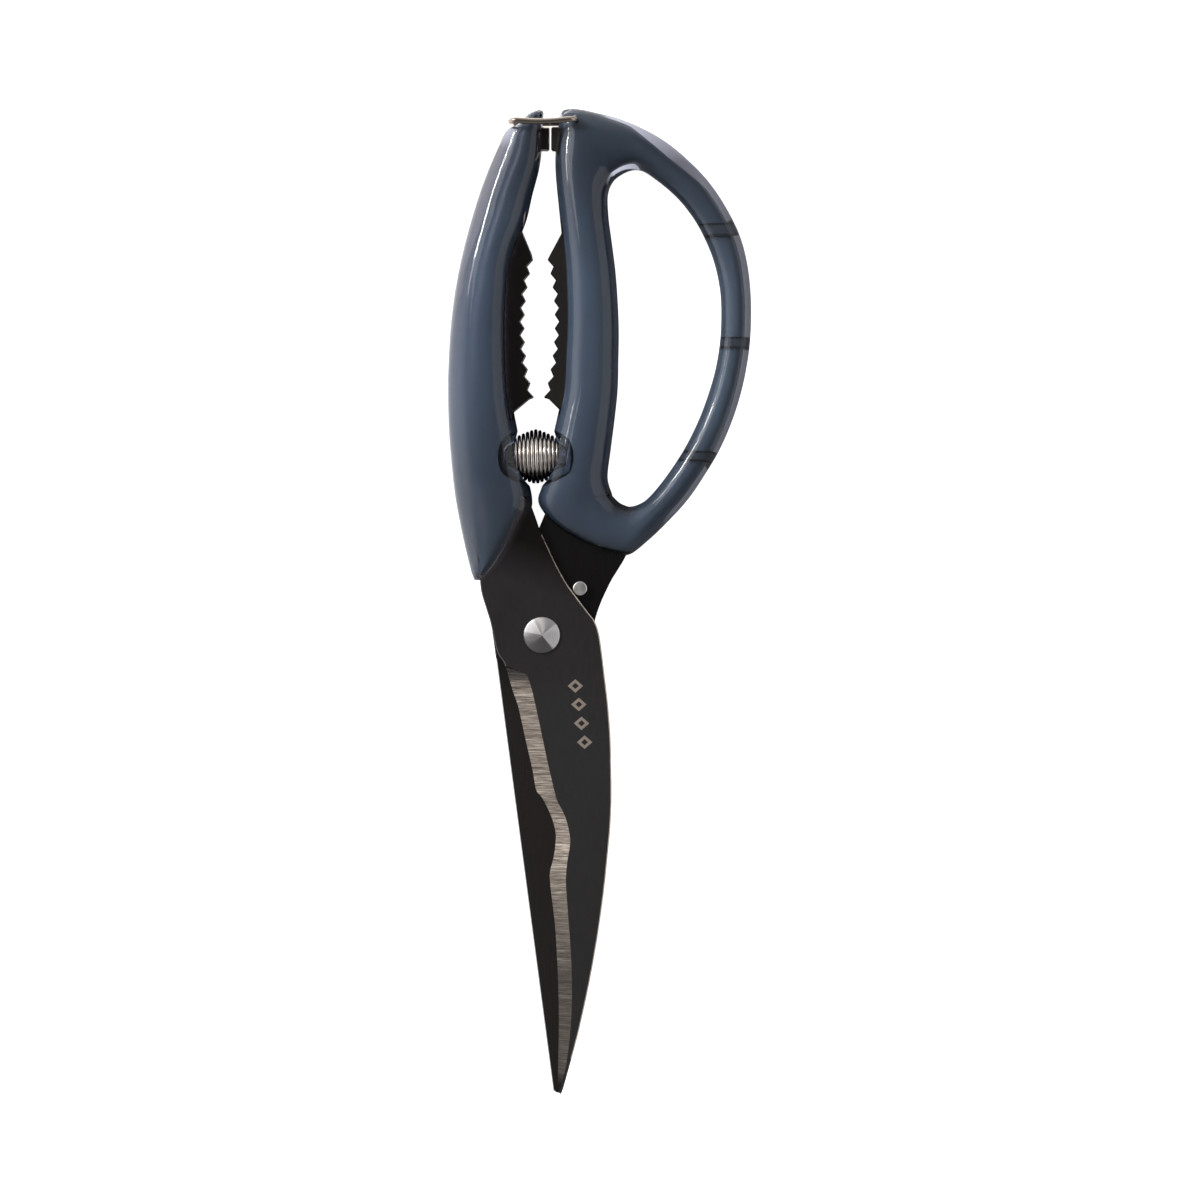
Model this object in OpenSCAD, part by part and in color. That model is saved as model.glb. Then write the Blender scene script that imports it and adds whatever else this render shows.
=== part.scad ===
// Poultry shears with a wavy bypass blade, toothed cracker jaws between the
// handles, a barrel return spring and a wire locking bail.
//
// Frame: the pivot axis is Z. The flat underside of the pivot nut is Z = 0,
// the handles point to +Y and the blade tips to -Y. The front blade and the
// slim grip are on the +Z side and the -X side.
// Inside the modules Z = 0 is the plane in which the two blades meet.

/* [Blades] */
// Thickness of each blade plate
blade_t = 2.8; // [2.4:0.1:3.0]
// Play between the two blade plates
blade_gap = 0.1; // [0.06:0.02:0.16]
// Thickness left at the ground cutting edges
edge_t = 0.35; // [0.25:0.05:0.6]
// Depth of the teeth of the cracker jaws
tooth_depth = 1.1; // [0.6:0.1:1.3]
// Number of teeth on each cracker jaw
tooth_count = 11; // [11, 9, 7]

/* [Pivot] */
// Radius of the pivot screw's shank
shank_r = 3.0; // [2.8:0.05:3.2]
// Radial play of the shank in the blades
shank_play = 0.05; // [0.02:0.01:0.08]
// Radius of the turned screw head
head_r = 4.7; // [4.3:0.1:5.4]
// Height of the screw head at its middle
head_h = 1.5; // [1.2:0.1:2.0]
// Radius of the pivot nut
nut_r = 5.4; // [5.0:0.1:6.0]
// Radius of the stop pin
stop_r = 1.85; // [1.6:0.05:1.9]

/* [Grips] */
// Wall of the clear grip shells
wall = 1.7; // [1.4:0.1:2.0]
// Play between a grip core and its shell
core_play = 0.06; // [0.04:0.01:0.1]
// Thickness of the grips, as a share of the standard one
grip_scale = 1.0; // [0.95:0.01:1.03]

/* [Spring and bail] */
// Radius of the return spring's wire
spring_wire_r = 0.45; // [0.35:0.01:0.48]
// Number of turns of the return spring
spring_turns = 16; // [14:1:16]
// Radius of the locking bail's wire
bail_wire_r = 0.8; // [0.7:0.05:0.85]
// Radial play of the bail's ends in their bores
bail_play = 0.06; // [0.03:0.01:0.09]

/* [Hidden] */

mid_z = 4.6;                    // blade plane above the nut's underside
z0 = blade_gap / 2;             // inner face of a blade
z1 = z0 + blade_t;              // outer face of a blade
zt = blade_t / 2;               // half thickness of a tang inside its grip
flank_z = z1 - 0.15;            // ground flank of the back blade
nut_top = 3.3;                  // upper face of the nut, below the blade plane
washer_t = 0.26;                // half thickness of the washer between blades
washer_seat_z = 0.3;            // bottom of its seats in the blades
spring_y = 46.4;                // spring axis
spring_x = -1.6;                // middle of the spring
spring_half = 8.6;              // half length of the closed spring
bail_pin = [8.6, 133.6];        // hinge of the bail
bail_bar = [-8.0, 133.3];       // crossbar of the bail
bail_leg_z = 6.6;               // height of the bail's legs
bail_bend = 1.6;                // bend radius of the bail's wire
stop_at = [9.9, 12.1];          // stop pin
// Heights of the three locator bands on the loop
band_1 = [45.0, 47.8];
band_2 = [74.4, 77.4];
band_3 = [103.5, 106.9];

// ---------------------------------------------------------------- helpers
// Point at t on the smooth curve from b to c, with neighbours a and d
function curve_at(a, b, c, d, t) =
    0.5 * (2 * b + (c - a) * t + (2 * a - 5 * b + 4 * c - d) * t * t
           + (3 * b - a - 3 * c + d) * t * t * t);
// Open smooth curve through the points P, n steps a span
function smooth(P, n = 2) = let (m = len(P) - 1)
    [for (i = [0 : m - 1], j = [0 : n - 1])
        curve_at(P[max(i - 1, 0)], P[i], P[i + 1], P[min(i + 2, m)], j / n),
     P[m]];
// Closed smooth curve through the points P, n steps a span
function smooth_ring(P, n = 2) = let (m = len(P))
    [for (i = [0 : m - 1], j = [0 : n - 1])
        curve_at(P[(i + m - 1) % m], P[i], P[(i + 1) % m], P[(i + 2) % m],
                 j / n)];
function signed_pow(v, p) = sign(v) * pow(abs(v), p);
// Ring of n points of a grip section. A station is [outer x, outer y,
// inner x, inner y, half thickness], and k sets how square the section is
function section(s, k, n) =
    let (c = [s[0] + s[2], s[1] + s[3]] / 2,
         u = [s[0] - s[2], s[1] - s[3]] / 2)
    [for (i = [0 : n - 1])
        let (a = 360 * (i + 0.5) / n,
             p = signed_pow(cos(a), 2 / k) / pow(cos(180 / n), 2 / k),
             q = signed_pow(sin(a), 2 / k))
        [c[0] + u[0] * p, c[1] + u[1] * p, grip_scale * s[4] * q]];
// The same station moved inwards by w in the plane and by wz in thickness
function inset(s, w, wz) =
    let (d = [s[2] - s[0], s[3] - s[1]], e = d / norm(d) * w)
    [s[0] + e[0], s[1] + e[1], s[2] - e[0], s[3] - e[1], s[4] - wz];

module sweep(S, k, n, closed = false) {
    m = len(S);
    pts = [for (s = S) for (p = section(s, k, n)) p];
    last = closed ? m - 1 : m - 2;
    sides = [for (i = [0 : last], j = [0 : n - 1])
        let (a = i * n, b = ((i + 1) % m) * n, j2 = (j + 1) % n)
        [[a + j, a + j2, b + j2], [a + j, b + j2, b + j]]];
    faces = [for (q = sides) for (t = q) t];
    caps = closed ? []
        : [[for (j = [n - 1 : -1 : 0]) j],
           [for (j = [0 : n - 1]) (m - 1) * n + j]];
    polyhedron(points = pts, faces = concat(faces, caps));
}

// -------------------------------------------------------------- outlines
// Front blade, right edge from the tip up to the left grip's corner
fb_right = concat(
    smooth([[4.9, -119.1], [5.5, -117.8], [7.2, -111.8], [9.3, -104],
        [11.1, -96.2], [12.7, -88.4], [14.1, -80.6], [15.3, -72.8],
        [16.3, -65], [17.1, -57.2], [17.8, -49.4], [18.1, -41.6],
        [18, -33.8], [17.8, -26], [17.2, -18.2], [16.3, -10.4],
        [15.3, -2.4], [14.6, 1.3], [13.7, 3.7]]),
    smooth([[13.3, 4.3], [11.9, 6], [9.1, 9.7], [6.3, 13.6], [3.6, 18.5],
        [1.2, 23.6], [-0.5, 27.3], [-1.3, 29.6], [-2.5, 32.9]]));
// Its cutting edge with the bone notch, from the shoulder down to the tip
cut_edge = [[-9.3, -8.5], [-8.6, -11], [-7.4, -15], [-6.3, -18.1],
    [-5.2, -22.8], [-4.2, -27.4], [-2.4, -35.2], [-1.5, -40.2],
    [0.1, -42.4], [2.2, -46.6], [3.5, -50.9], [3.5, -54.5], [3, -58],
    [2.1, -61.6], [2.2, -65.2], [3.3, -74.4], [3.8, -81.6], [4.2, -90.1],
    [4.4, -100.8], [4.2, -111.5], [3.8, -116.5]];
// Inner boundary of its ground bevel, one point for each point above
bevel_in = [[-4.2, -10.1], [-3.6, -11], [-2.5, -14.5], [-1.6, -18.4],
    [-0.6, -23], [0.4, -27.8], [2, -35.2], [3.3, -40.6], [4.1, -43.2],
    [6.1, -47.2], [7.2, -51.6], [7.3, -54.5], [6.6, -59], [6.3, -62.3],
    [6.3, -65.4], [6.9, -73.7], [7.4, -80.4], [7.8, -89.5], [7.7, -100.2],
    [6.6, -111.2], [5.7, -116.2]];
// Front tang, hidden right edge below the jaw and above it
fb_inner_low = [[-3.4, 34.8], [-6.5, 36.6], [-10.5, 38.6], [-11.8, 40.2],
    [-11.8, 52.6], [-9.6, 55.4], [-7.1, 58], [-3.3, 61.2]];
fb_inner_top = [[-2.6, 98.9], [-5, 104.7], [-5.6, 107.5], [-5.4, 112],
    [-4.4, 117.5], [-2.8, 122.5], [-1.4, 125.2], [0, 125.8], [1.6, 125.8],
    [2, 126.2], [2, 131.6], [1.6, 132], [-0.5, 132]];
// Front tang, hidden left edge from the top down, then the visible shoulder
fb_left = concat(
    smooth([[-3.2, 130.8], [-5.8, 127.6], [-9, 120.6], [-12, 112.6],
        [-15, 103], [-17.2, 95], [-18.6, 86], [-19.2, 76], [-19.4, 66],
        [-19.2, 56], [-18.8, 46], [-18.1, 38], [-17.3, 30], [-16.6, 23],
        [-16.2, 17.5], [-15.8, 11.7], [-14.3, 6.5], [-13.5, 3.9],
        [-12.9, 1.3], [-12.1, -2.6], [-11.2, -5.2], [-10, -6.8]]));
// Back blade: straight spine, hidden cutting edge and tang
bb_edge = [[13.8, 1.5], [13.4, -4], [12, -12], [10.8, -25], [9.8, -45],
    [8.9, -65], [7.9, -85], [6.5, -105], [5, -117.5]];
bb_bevel_in = [[10.3, 1.5], [10, -4.5], [8.6, -12.5], [7.4, -25.2],
    [6.4, -45.2], [5.5, -65], [4.6, -84.6], [3.6, -104.4], [3.2, -115.5]];
bb_right = smooth([[13.8, 3.9], [14.6, 6.5], [15.6, 9.1], [16.8, 11.7],
    [18.1, 14.3], [19.7, 16.9], [21.8, 20.5], [22.6, 23.5], [22, 27],
    [19.6, 30.4], [16.4, 33.8], [14.2, 38], [13.6, 47], [14, 56],
    [14.6, 66], [14.9, 76], [14.8, 86], [14.3, 95], [13.6, 104],
    [13.2, 112], [12.4, 120], [10.2, 127], [7, 131.2]]);
bb_inner_top = [[4.8, 132], [2.8, 132], [2.4, 131.6], [2.4, 126.2],
    [2.8, 125.8], [4.6, 125.6], [6, 123], [6.9, 118], [7, 112], [6.4, 107.6],
    [5.1, 104.4], [1.8, 98.2]];
bb_inner_low = [[1.8, 61.3], [4.4, 58.7], [6.6, 55.6], [8.4, 52.6],
    [8.4, 40.4], [5.2, 38.4], [2.6, 35.2]];
bb_left = smooth([[0.8, 31.6], [-0.7, 28], [-3.5, 22], [-7, 15.5],
    [-10.3, 9], [-12.2, 4], [-12.9, 1.2], [-12.6, -1.3], [-11.7, -8]]);

// Tips of the jaws' teeth
tooth_pitch = 35.6 / (tooth_count - 1);
function left_tip(y) = -4.5 + 0.0072 * (y - 80) * (y - 80);
function right_tip(y) = 3.35 - 0.0072 * (y - 81.5) * (y - 81.5);
left_teeth = [for (i = [0 : tooth_count - 1])
    let (y = 61.9 + tooth_pitch * i, v = y + tooth_pitch / 2)
    each i < tooth_count - 1
        ? [[left_tip(y), y], [left_tip(v) - tooth_depth, v]]
        : [[left_tip(y), y]]];
right_teeth = [for (i = [tooth_count - 1 : -1 : 0])
    let (y = 61.9 + tooth_pitch * i, v = y - tooth_pitch / 2)
    each i > 0
        ? [[right_tip(y), y], [right_tip(v) + tooth_depth, v]]
        : [[right_tip(y), y]]];

// Slim left grip, bottom to top: outer edge, inner edge, half thickness
left_grip = [
    [-17.6, 14.3, -15.6, 14.2, 3.2], [-18.1, 15.6, -14.1, 15.3, 4.2],
    [-18.7, 17.6, -12.2, 17, 4.9], [-19.5, 20.8, -9.8, 19.8, 5.5],
    [-20.6, 25.5, -7, 24.3, 6.2], [-21.6, 30.4, -4.6, 29.3, 6.9],
    [-22.4, 34.8, -2.7, 33, 7.4], [-22.9, 38.2, -2.6, 36.2, 7.7],
    [-23.3, 41.8, -3.6, 40.6, 7.9], [-23.9, 48.1, -5, 47.2, 8],
    [-24.3, 54, -6.4, 53.6, 8], [-24.5, 60.4, -7.6, 60.2, 8],
    [-24.5, 67, -8.2, 67.2, 8], [-24.2, 74, -8.4, 74.2, 8],
    [-23.7, 81, -8.5, 81.5, 8], [-22.8, 88.2, -8.2, 89, 8],
    [-21.6, 95, -7.8, 95.6, 7.9], [-20, 102, -6.4, 101.4, 7.6],
    [-17.9, 109.5, -4, 107.8, 7], [-15.8, 116, -2.4, 114.6, 6.3],
    [-13.4, 122.2, -0.9, 120.2, 5.8], [-11.2, 127.2, -0.1, 125, 5.5],
    [-9.8, 130.4, 0, 128.6, 5.4], [-8.6, 131.7, 0, 130.4, 5.4],
    [-7.3, 132.1, 0.1, 131.6, 5.3], [-6.2, 132.8, 0.2, 132.6, 5.3],
    [-4.8, 134.3, 0.4, 133.9, 5.1], [-3.3, 135.6, 0.5, 135, 4.5],
    [-1.8, 136.2, 0.5, 135.8, 3.4], [-1, 136.5, 0.2, 136.3, 2.2]];

// Right grip round its finger opening: opening edge, outer edge, thickness
right_grip = [
    [18.2, 36.8, -1, 35.4, 6.8], [17.1, 41, 0.2, 39.3, 7.4],
    [17.9, 48.1, 1.8, 47, 7.5], [18.9, 55.9, 3.7, 55.4, 7.5],
    [19.7, 63.7, 5.4, 63.6, 7.5], [19.9, 71.5, 5.8, 71, 7.5],
    [20, 79.3, 6.2, 79, 7.5], [19.7, 87.1, 6.2, 87, 7.5],
    [19.1, 94.9, 5.9, 95.5, 7.5], [18.1, 102.7, 5.1, 104, 7.3],
    [17.4, 107.9, 4.4, 111, 6.9], [17.1, 113.1, 3.6, 119.4, 6.4],
    [17.5, 115.7, 3.5, 125.6, 6], [18.2, 117.2, 4.2, 131.4, 5.7],
    [19.1, 118.4, 4.9, 135.9, 5.5], [20.6, 119.5, 8.5, 136.8, 5.4],
    [22.4, 120.4, 14.5, 135.7, 5.2], [24.4, 120.8, 21, 133.9, 5],
    [26.6, 120.3, 27, 131.3, 4.8], [29.2, 118.6, 32.8, 127.8, 4.6],
    [32.9, 115.7, 38.5, 123, 4.5], [36.6, 112, 43.4, 117.8, 4.5],
    [40.2, 107, 47.8, 111.3, 4.5], [43, 101.5, 51.4, 104, 4.5],
    [45, 96, 53.3, 97, 4.5], [46.3, 89.5, 54.2, 90, 4.5],
    [46.6, 83, 54.4, 83, 4.5], [46.3, 76.5, 54.1, 76, 4.5],
    [45.3, 70, 53.2, 69.5, 4.5], [43.7, 64, 51.8, 63, 4.5],
    [41.2, 57, 49.6, 56, 4.5], [38, 50.2, 46.4, 48.5, 4.5],
    [34.7, 44.7, 42.6, 42, 4.5], [31, 39.5, 37.9, 35.1, 4.5],
    [27.6, 35.6, 32.2, 28.9, 4.6], [25.2, 34, 27.2, 24.2, 4.8],
    [22.9, 33.4, 22.7, 20.9, 5], [21.4, 33.8, 18.4, 21.2, 5.1],
    [20.2, 34.4, 13.6, 22.7, 5.3], [19.3, 35.2, 8.4, 25.3, 5.6],
    [18.6, 35.9, 3.4, 28.8, 6], [18.3, 36.3, 0.1, 32.4, 6.4]];

// ------------------------------------------------------- bent blade plates
// Side profile of a plate that steps from the blade's height to the middle
// of its grip between y = a and y = b
module bent_sheet(side, a, b) {
    rotate([90, 0, 90]) translate([0, 0, -60]) linear_extrude(120)
        polygon([[-130, side * z0], [-130, side * z1], [a, side * z1],
            [b, side * zt], [140, side * zt], [140, -side * zt],
            [b, -side * zt], [a, side * z0]]);
}
module front_plate() {
    intersection() {
        translate([0, 0, -4]) linear_extrude(8)
            polygon(concat(fb_right, fb_inner_low, left_teeth, fb_inner_top,
                fb_left, smooth(cut_edge)));
        bent_sheet(1, 35.4, 39.6);
    }
}
module back_plate() {
    intersection() {
        translate([0, 0, -4]) linear_extrude(8)
            polygon(concat(bb_right, bb_inner_top, right_teeth, bb_inner_low,
                bb_left, [[2.9, -118.3], [4, -119.1], [5, -117.5]],
                [for (i = [len(bb_edge) - 2 : -1 : 0]) bb_edge[i]]));
        bent_sheet(-1, 37.4, 41.6);
    }
}
// Wedge taken off a blade to grind its bevel. E is the cutting edge and I
// the inner boundary; side is +1 on the front blade and -1 on the back one
module bevel_cut(E, I, side) {
    m = len(E);
    pts = [for (i = [0 : m - 1])
        let (e = E[i], d = (e - I[i]) / norm(e - I[i]),
             rise = (z1 - edge_t - z0) / norm(e - I[i]),
             o = e + d * 3)
        each [[I[i][0], I[i][1], side * z1],
              [o[0], o[1], side * (z0 + edge_t - 3 * rise)],
              [o[0], o[1], side * (z1 + 1)],
              [I[i][0], I[i][1], side * (z1 + 1)]]];
    sides = [for (i = [0 : m - 2], j = [0 : 3])
        let (a = i * 4, b = a + 4, k = (j + 1) % 4)
        [[a + j, a + k, b + k], [a + j, b + k, b + j]]];
    tri = concat([for (q = sides) for (t = q) t],
        [[3, 2, 1, 0], [for (j = [0 : 3]) (m - 1) * 4 + j]]);
    polyhedron(points = pts,
        faces = tri);
}

module front_blade() {
    color([0.19, 0.18, 0.18]) translate([0, 0, mid_z]) difference() {
        front_plate();
        bevel_cut(cut_edge, bevel_in, 1);
        translate([0, 0, -1]) cylinder(r = shank_r + shank_play, h = 6, $fn = 64);
        translate([0, 0, -1])
            cylinder(r = 6.5, h = 1 + washer_seat_z, $fn = 64);
    }
}
module back_blade() {
    color([0.09, 0.08, 0.08]) translate([0, 0, mid_z]) difference() {
        back_plate();
        // the ground flank lies a little lower than the shoulder
        translate([-40, -130, -z1 - 1]) cube([80, 121, 1 + z1 - flank_z]);
        bevel_cut(bb_edge, bb_bevel_in, -1);
        translate([0, 0, -5]) cylinder(r = shank_r + shank_play, h = 6, $fn = 64);
        translate([0, 0, -washer_seat_z])
            cylinder(r = 6.5, h = 1 + washer_seat_z, $fn = 64);
        translate([stop_at[0], stop_at[1], -5])
            cylinder(r = stop_r, h = 6, $fn = 48);
    }
}
module stop_pin() {
    color([0.78, 0.77, 0.76]) translate([stop_at[0], stop_at[1], mid_z - z1])
        rotate_extrude($fn = 48)
            polygon([[0, 0], [stop_r, 0], [stop_r, z1 + 2.1],
                [stop_r - 0.3, z1 + 2.4], [0, z1 + 2.4]]);
}

// ------------------------------------------------------------------ pivot
module pivot_screw() {
    color([0.78, 0.76, 0.75]) translate([0, 0, mid_z]) rotate_extrude($fn = 64)
        polygon([[0, -4.0], [2.6, -4.0], [2.6, -nut_top], [shank_r, -nut_top],
            [shank_r, z1 + 0.02], [head_r, z1 + 0.02], [head_r, z1 + 0.6],
            [head_r - 0.25, z1 + 0.8], [0.9, z1 + head_h - 0.1],
            [0.9, z1 + head_h - 0.35], [0, z1 + head_h - 0.35]]);
}
module pivot_nut() {
    color([0.62, 0.61, 0.6]) difference() {
        rotate_extrude($fn = 64)
            polygon([[0, 0], [nut_r - 0.4, 0], [nut_r, 0.4],
                [nut_r, mid_z - nut_top], [2.65, mid_z - nut_top],
                [2.65, 0.55], [0, 0.55]]);
        for (s = [-1, 1]) translate([s * 3.8, 0, -1])
            cylinder(r = 0.6, h = 1.8, $fn = 32);
    }
}
module wave_washer() {
    n = 36; // steps round the ring
    color([0.55, 0.52, 0.45]) translate([0, 0, mid_z - (z1 + nut_top) / 2])
    polyhedron(
        points = [for (i = [0 : n - 1])
            let (a = 360 * i / n, w = 0.1 * sin(3 * a),
                 c = [cos(a), sin(a)])
            each [[3.2 * c[0], 3.2 * c[1], w - 0.1],
                  [5 * c[0], 5 * c[1], w - 0.1],
                  [5 * c[0], 5 * c[1], w + 0.1],
                  [3.2 * c[0], 3.2 * c[1], w + 0.1]]],
        faces = [for (i = [0 : n - 1], j = [0 : 3])
            let (a = i * 4, b = ((i + 1) % n) * 4, k = (j + 1) % 4)
            each [[a + j, a + k, b + k], [a + j, b + k, b + j]]]);
}
module blade_washer() {
    color([0.86, 0.85, 0.8]) translate([0, 0, mid_z - washer_t]) difference() {
        cylinder(r = 6.4, h = 2 * washer_t, $fn = 64);
        translate([0, 0, -1]) cylinder(r = shank_r + 0.1, h = 3, $fn = 64);
    }
}

// ------------------------------------------------------------------ grips
// Outer radius of the barrel spring at x
function spring_r(x) = let (u = abs(x - spring_x) / spring_half)
    7.15 - 3.9 * pow(u, 1.3);
// Socket for one end of the spring, dir is -1 in the left grip, 1 in the right
module spring_socket(dir) {
    translate([spring_x, spring_y, 0]) rotate([0, dir * 90, 0])
        rotate_extrude($fn = 48)
            polygon([[0, 0], [7.7, 0], [7.6, 2.6], [6.6, 5], [5.6, 7],
                [4.4, 8.8], [2.4, 9.5], [0, 9.7]]);
}
module bail_bores(r) {
    for (s = [-1, 1]) translate([bail_pin[0], bail_pin[1], s > 0 ? 2.4 : -8.4])
        cylinder(r = r, h = 6, $fn = 32);
}
module left_solid(w, wz) {
    S = smooth(left_grip, 2);
    m = len(S);
    // from the top down, so that the faces look outwards
    if (w == 0) sweep([for (i = [m - 1 : -1 : 0]) S[i]], 2.4, 14);
    else sweep([for (i = [m - 6 : -1 : 5]) inset(S[i], w, wz)], 2.3, 12);
}
module right_solid(w, wz) {
    if (w == 0) sweep(smooth_ring(right_grip, 2), 2.4, 14, true);
    else sweep([for (s = right_grip) inset(s, w, wz)], 2.3, 12, true);
}
module left_grip_shell() {
    color([0.55, 0.57, 0.68]) translate([0, 0, mid_z]) difference() {
        left_solid(0, 0);
        left_solid(wall, wall - 0.2);
        front_plate();
        spring_socket(-1);
    }
}
module left_grip_core() {
    color([0.27, 0.32, 0.38]) translate([0, 0, mid_z]) difference() {
        left_solid(wall + core_play, wall - 0.2 + core_play);
        front_plate();
        spring_socket(-1);
    }
}
module right_grip_shell() {
    color([0.55, 0.57, 0.68]) translate([0, 0, mid_z]) difference() {
        right_solid(0, 0);
        right_solid(wall, wall - 0.2);
        back_plate();
        spring_socket(1);
        bail_bores(bail_wire_r + bail_play);
    }
}
// Whole core of the right grip before it is divided at the locators
module right_core_whole() {
    difference() {
        right_solid(wall + core_play, wall - 0.2 + core_play);
        back_plate();
        spring_socket(1);
        bail_bores(bail_wire_r + bail_play);
    }
}
module loop_slab(lo, hi) {
    translate([30, lo, -10]) cube([30, hi - lo, 20]);
}
module loop_piece(lo, hi) {
    intersection() {
        right_solid(wall + core_play, wall - 0.2 + core_play);
        loop_slab(lo, hi);
    }
}
module right_grip_core() {
    color([0.27, 0.32, 0.38]) translate([0, 0, mid_z]) difference() {
        right_core_whole();
        loop_slab(band_1[0], band_3[1]);
    }
}
module loop_core_upper() {
    color([0.27, 0.32, 0.38]) translate([0, 0, mid_z])
        loop_piece(band_2[1], band_3[0]);
}
module loop_core_lower() {
    color([0.27, 0.32, 0.38]) translate([0, 0, mid_z])
        loop_piece(band_1[1], band_2[0]);
}
module core_locators() {
    color([0.2, 0.23, 0.24]) translate([0, 0, mid_z])
        for (b = [band_1, band_2, band_3]) loop_piece(b[0], b[1]);
}

// ------------------------------------------------------- spring and bail
module return_spring() {
    n = 14;             // steps a turn
    k = 6;              // sides of the wire
    steps = n * spring_turns;
    pts = [for (i = [0 : steps])
        let (t = i / steps, x = spring_x - spring_half + 2 * spring_half * t,
             r = spring_r(x) - spring_wire_r, a = 360 * i / n)
        for (j = [0 : k - 1])
            let (b = 360 * j / k, rr = r + spring_wire_r * cos(b))
            [x + spring_wire_r * sin(b), spring_y + rr * cos(a), rr * sin(a)]];
    color([0.75, 0.72, 0.68]) translate([0, 0, mid_z]) polyhedron(
        points = pts,
        faces = concat(
            [for (i = [0 : steps - 1], j = [0 : k - 1])
                let (a = i * k, b = a + k, m = (j + 1) % k)
                each [[a + j, a + m, b + m], [a + j, b + m, b + j]]],
            [[for (j = [k - 1 : -1 : 0]) j],
             [for (j = [0 : k - 1]) steps * k + j]]));
}
module locking_bail() {
    d = bail_bar - bail_pin;
    reach = norm(d);
    turn = atan2(d[1], d[0]);
    leg = reach - 2 * bail_bend;
    color([0.6, 0.56, 0.5]) translate([bail_pin[0], bail_pin[1], mid_z])
    rotate([0, 0, turn]) {
        translate([reach, 0, -(bail_leg_z - bail_bend)])
            cylinder(r = bail_wire_r, h = 2 * (bail_leg_z - bail_bend),
                $fn = 32);
        for (s = [-1, 1]) mirror([0, 0, s > 0 ? 0 : 1]) {
            translate([bail_bend, 0, bail_leg_z]) rotate([0, 90, 0])
                cylinder(r = bail_wire_r, h = leg, $fn = 32);
            translate([0, 0, 2.7])
                cylinder(r = bail_wire_r, h = bail_leg_z - bail_bend - 2.7,
                    $fn = 32);
            translate([reach - bail_bend, 0, bail_leg_z - bail_bend])
                rotate([90, 0, 0])
                rotate_extrude(angle = 90, $fn = 48)
                    translate([bail_bend, 0]) circle(r = bail_wire_r, $fn = 32);
            translate([bail_bend, 0, bail_leg_z - bail_bend])
                rotate([90, 0, 180]) rotate_extrude(angle = 90, $fn = 48)
                    translate([bail_bend, 0]) circle(r = bail_wire_r, $fn = 32);
        }
    }
}

front_blade();
back_blade();
stop_pin();
pivot_screw();
pivot_nut();
wave_washer();
blade_washer();
left_grip_shell();
left_grip_core();
right_grip_shell();
right_grip_core();
loop_core_upper();
loop_core_lower();
core_locators();
return_spring();
locking_bail();
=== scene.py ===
import math

import bmesh
import bpy
import numpy as np
from mathutils import Matrix, Vector


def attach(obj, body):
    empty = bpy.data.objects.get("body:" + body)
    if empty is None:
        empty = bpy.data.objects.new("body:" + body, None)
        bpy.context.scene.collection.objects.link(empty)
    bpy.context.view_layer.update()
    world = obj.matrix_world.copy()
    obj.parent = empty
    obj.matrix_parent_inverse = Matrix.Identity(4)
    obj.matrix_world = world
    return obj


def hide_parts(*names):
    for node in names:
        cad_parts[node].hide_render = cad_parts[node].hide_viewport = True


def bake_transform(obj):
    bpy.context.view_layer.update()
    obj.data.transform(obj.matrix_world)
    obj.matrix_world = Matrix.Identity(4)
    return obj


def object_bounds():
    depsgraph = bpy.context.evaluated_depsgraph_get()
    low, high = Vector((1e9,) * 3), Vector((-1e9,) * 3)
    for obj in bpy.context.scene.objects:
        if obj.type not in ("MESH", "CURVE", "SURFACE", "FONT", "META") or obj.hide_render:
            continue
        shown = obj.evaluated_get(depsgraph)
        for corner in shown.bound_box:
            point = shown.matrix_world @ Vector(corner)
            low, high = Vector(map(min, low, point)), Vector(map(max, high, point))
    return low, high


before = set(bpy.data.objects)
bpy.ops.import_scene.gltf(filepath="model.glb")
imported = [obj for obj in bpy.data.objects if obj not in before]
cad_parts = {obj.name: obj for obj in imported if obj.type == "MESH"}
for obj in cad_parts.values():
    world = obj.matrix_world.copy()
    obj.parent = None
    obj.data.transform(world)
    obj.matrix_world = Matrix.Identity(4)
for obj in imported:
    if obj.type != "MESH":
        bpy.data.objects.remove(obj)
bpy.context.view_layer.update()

MM = 0.001
MID = 4.6            # the plane in which the blades meet, above the nut, in mm
Z0, Z1, ZT = 0.05, 2.85, 1.4
SCENE = bpy.context.scene
COLL = SCENE.collection
rng = np.random.default_rng(7)


# ------------------------------------------------------------------ curves
def curve_at(a, b, c, d, t):
    return 0.5 * (2 * b + (c - a) * t + (2 * a - 5 * b + 4 * c - d) * t * t
                  + (3 * b - a - 3 * c + d) * t ** 3)


def smooth(P, n=8):
    P = np.array(P, float)
    m = len(P) - 1
    out = [curve_at(P[max(i - 1, 0)], P[i], P[i + 1], P[min(i + 2, m)], j / n)
           for i in range(m) for j in range(n)]
    return np.array(out + [P[m]])


def smooth_ring(P, n=8):
    P = np.array(P, float)
    m = len(P)
    return np.array([curve_at(P[i - 1], P[i], P[(i + 1) % m], P[(i + 2) % m], j / n)
                     for i in range(m) for j in range(n)])


def section(s, k, n):
    a = 2 * np.pi * np.arange(n) / n
    p = np.sign(np.cos(a)) * np.abs(np.cos(a)) ** (2 / k)
    q = np.sign(np.sin(a)) * np.abs(np.sin(a)) ** (2 / k)
    cx, cy = (s[0] + s[2]) / 2, (s[1] + s[3]) / 2
    ux, uy = (s[0] - s[2]) / 2, (s[1] - s[3]) / 2
    return np.stack([cx + ux * p, cy + uy * p, s[4] * q], 1)


def inset(s, w, wz):
    d = np.array([s[2] - s[0], s[3] - s[1]])
    e = d / np.linalg.norm(d) * w
    return np.array([s[0] + e[0], s[1] + e[1], s[2] - e[0], s[3] - e[1],
                     s[4] - wz])


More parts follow.
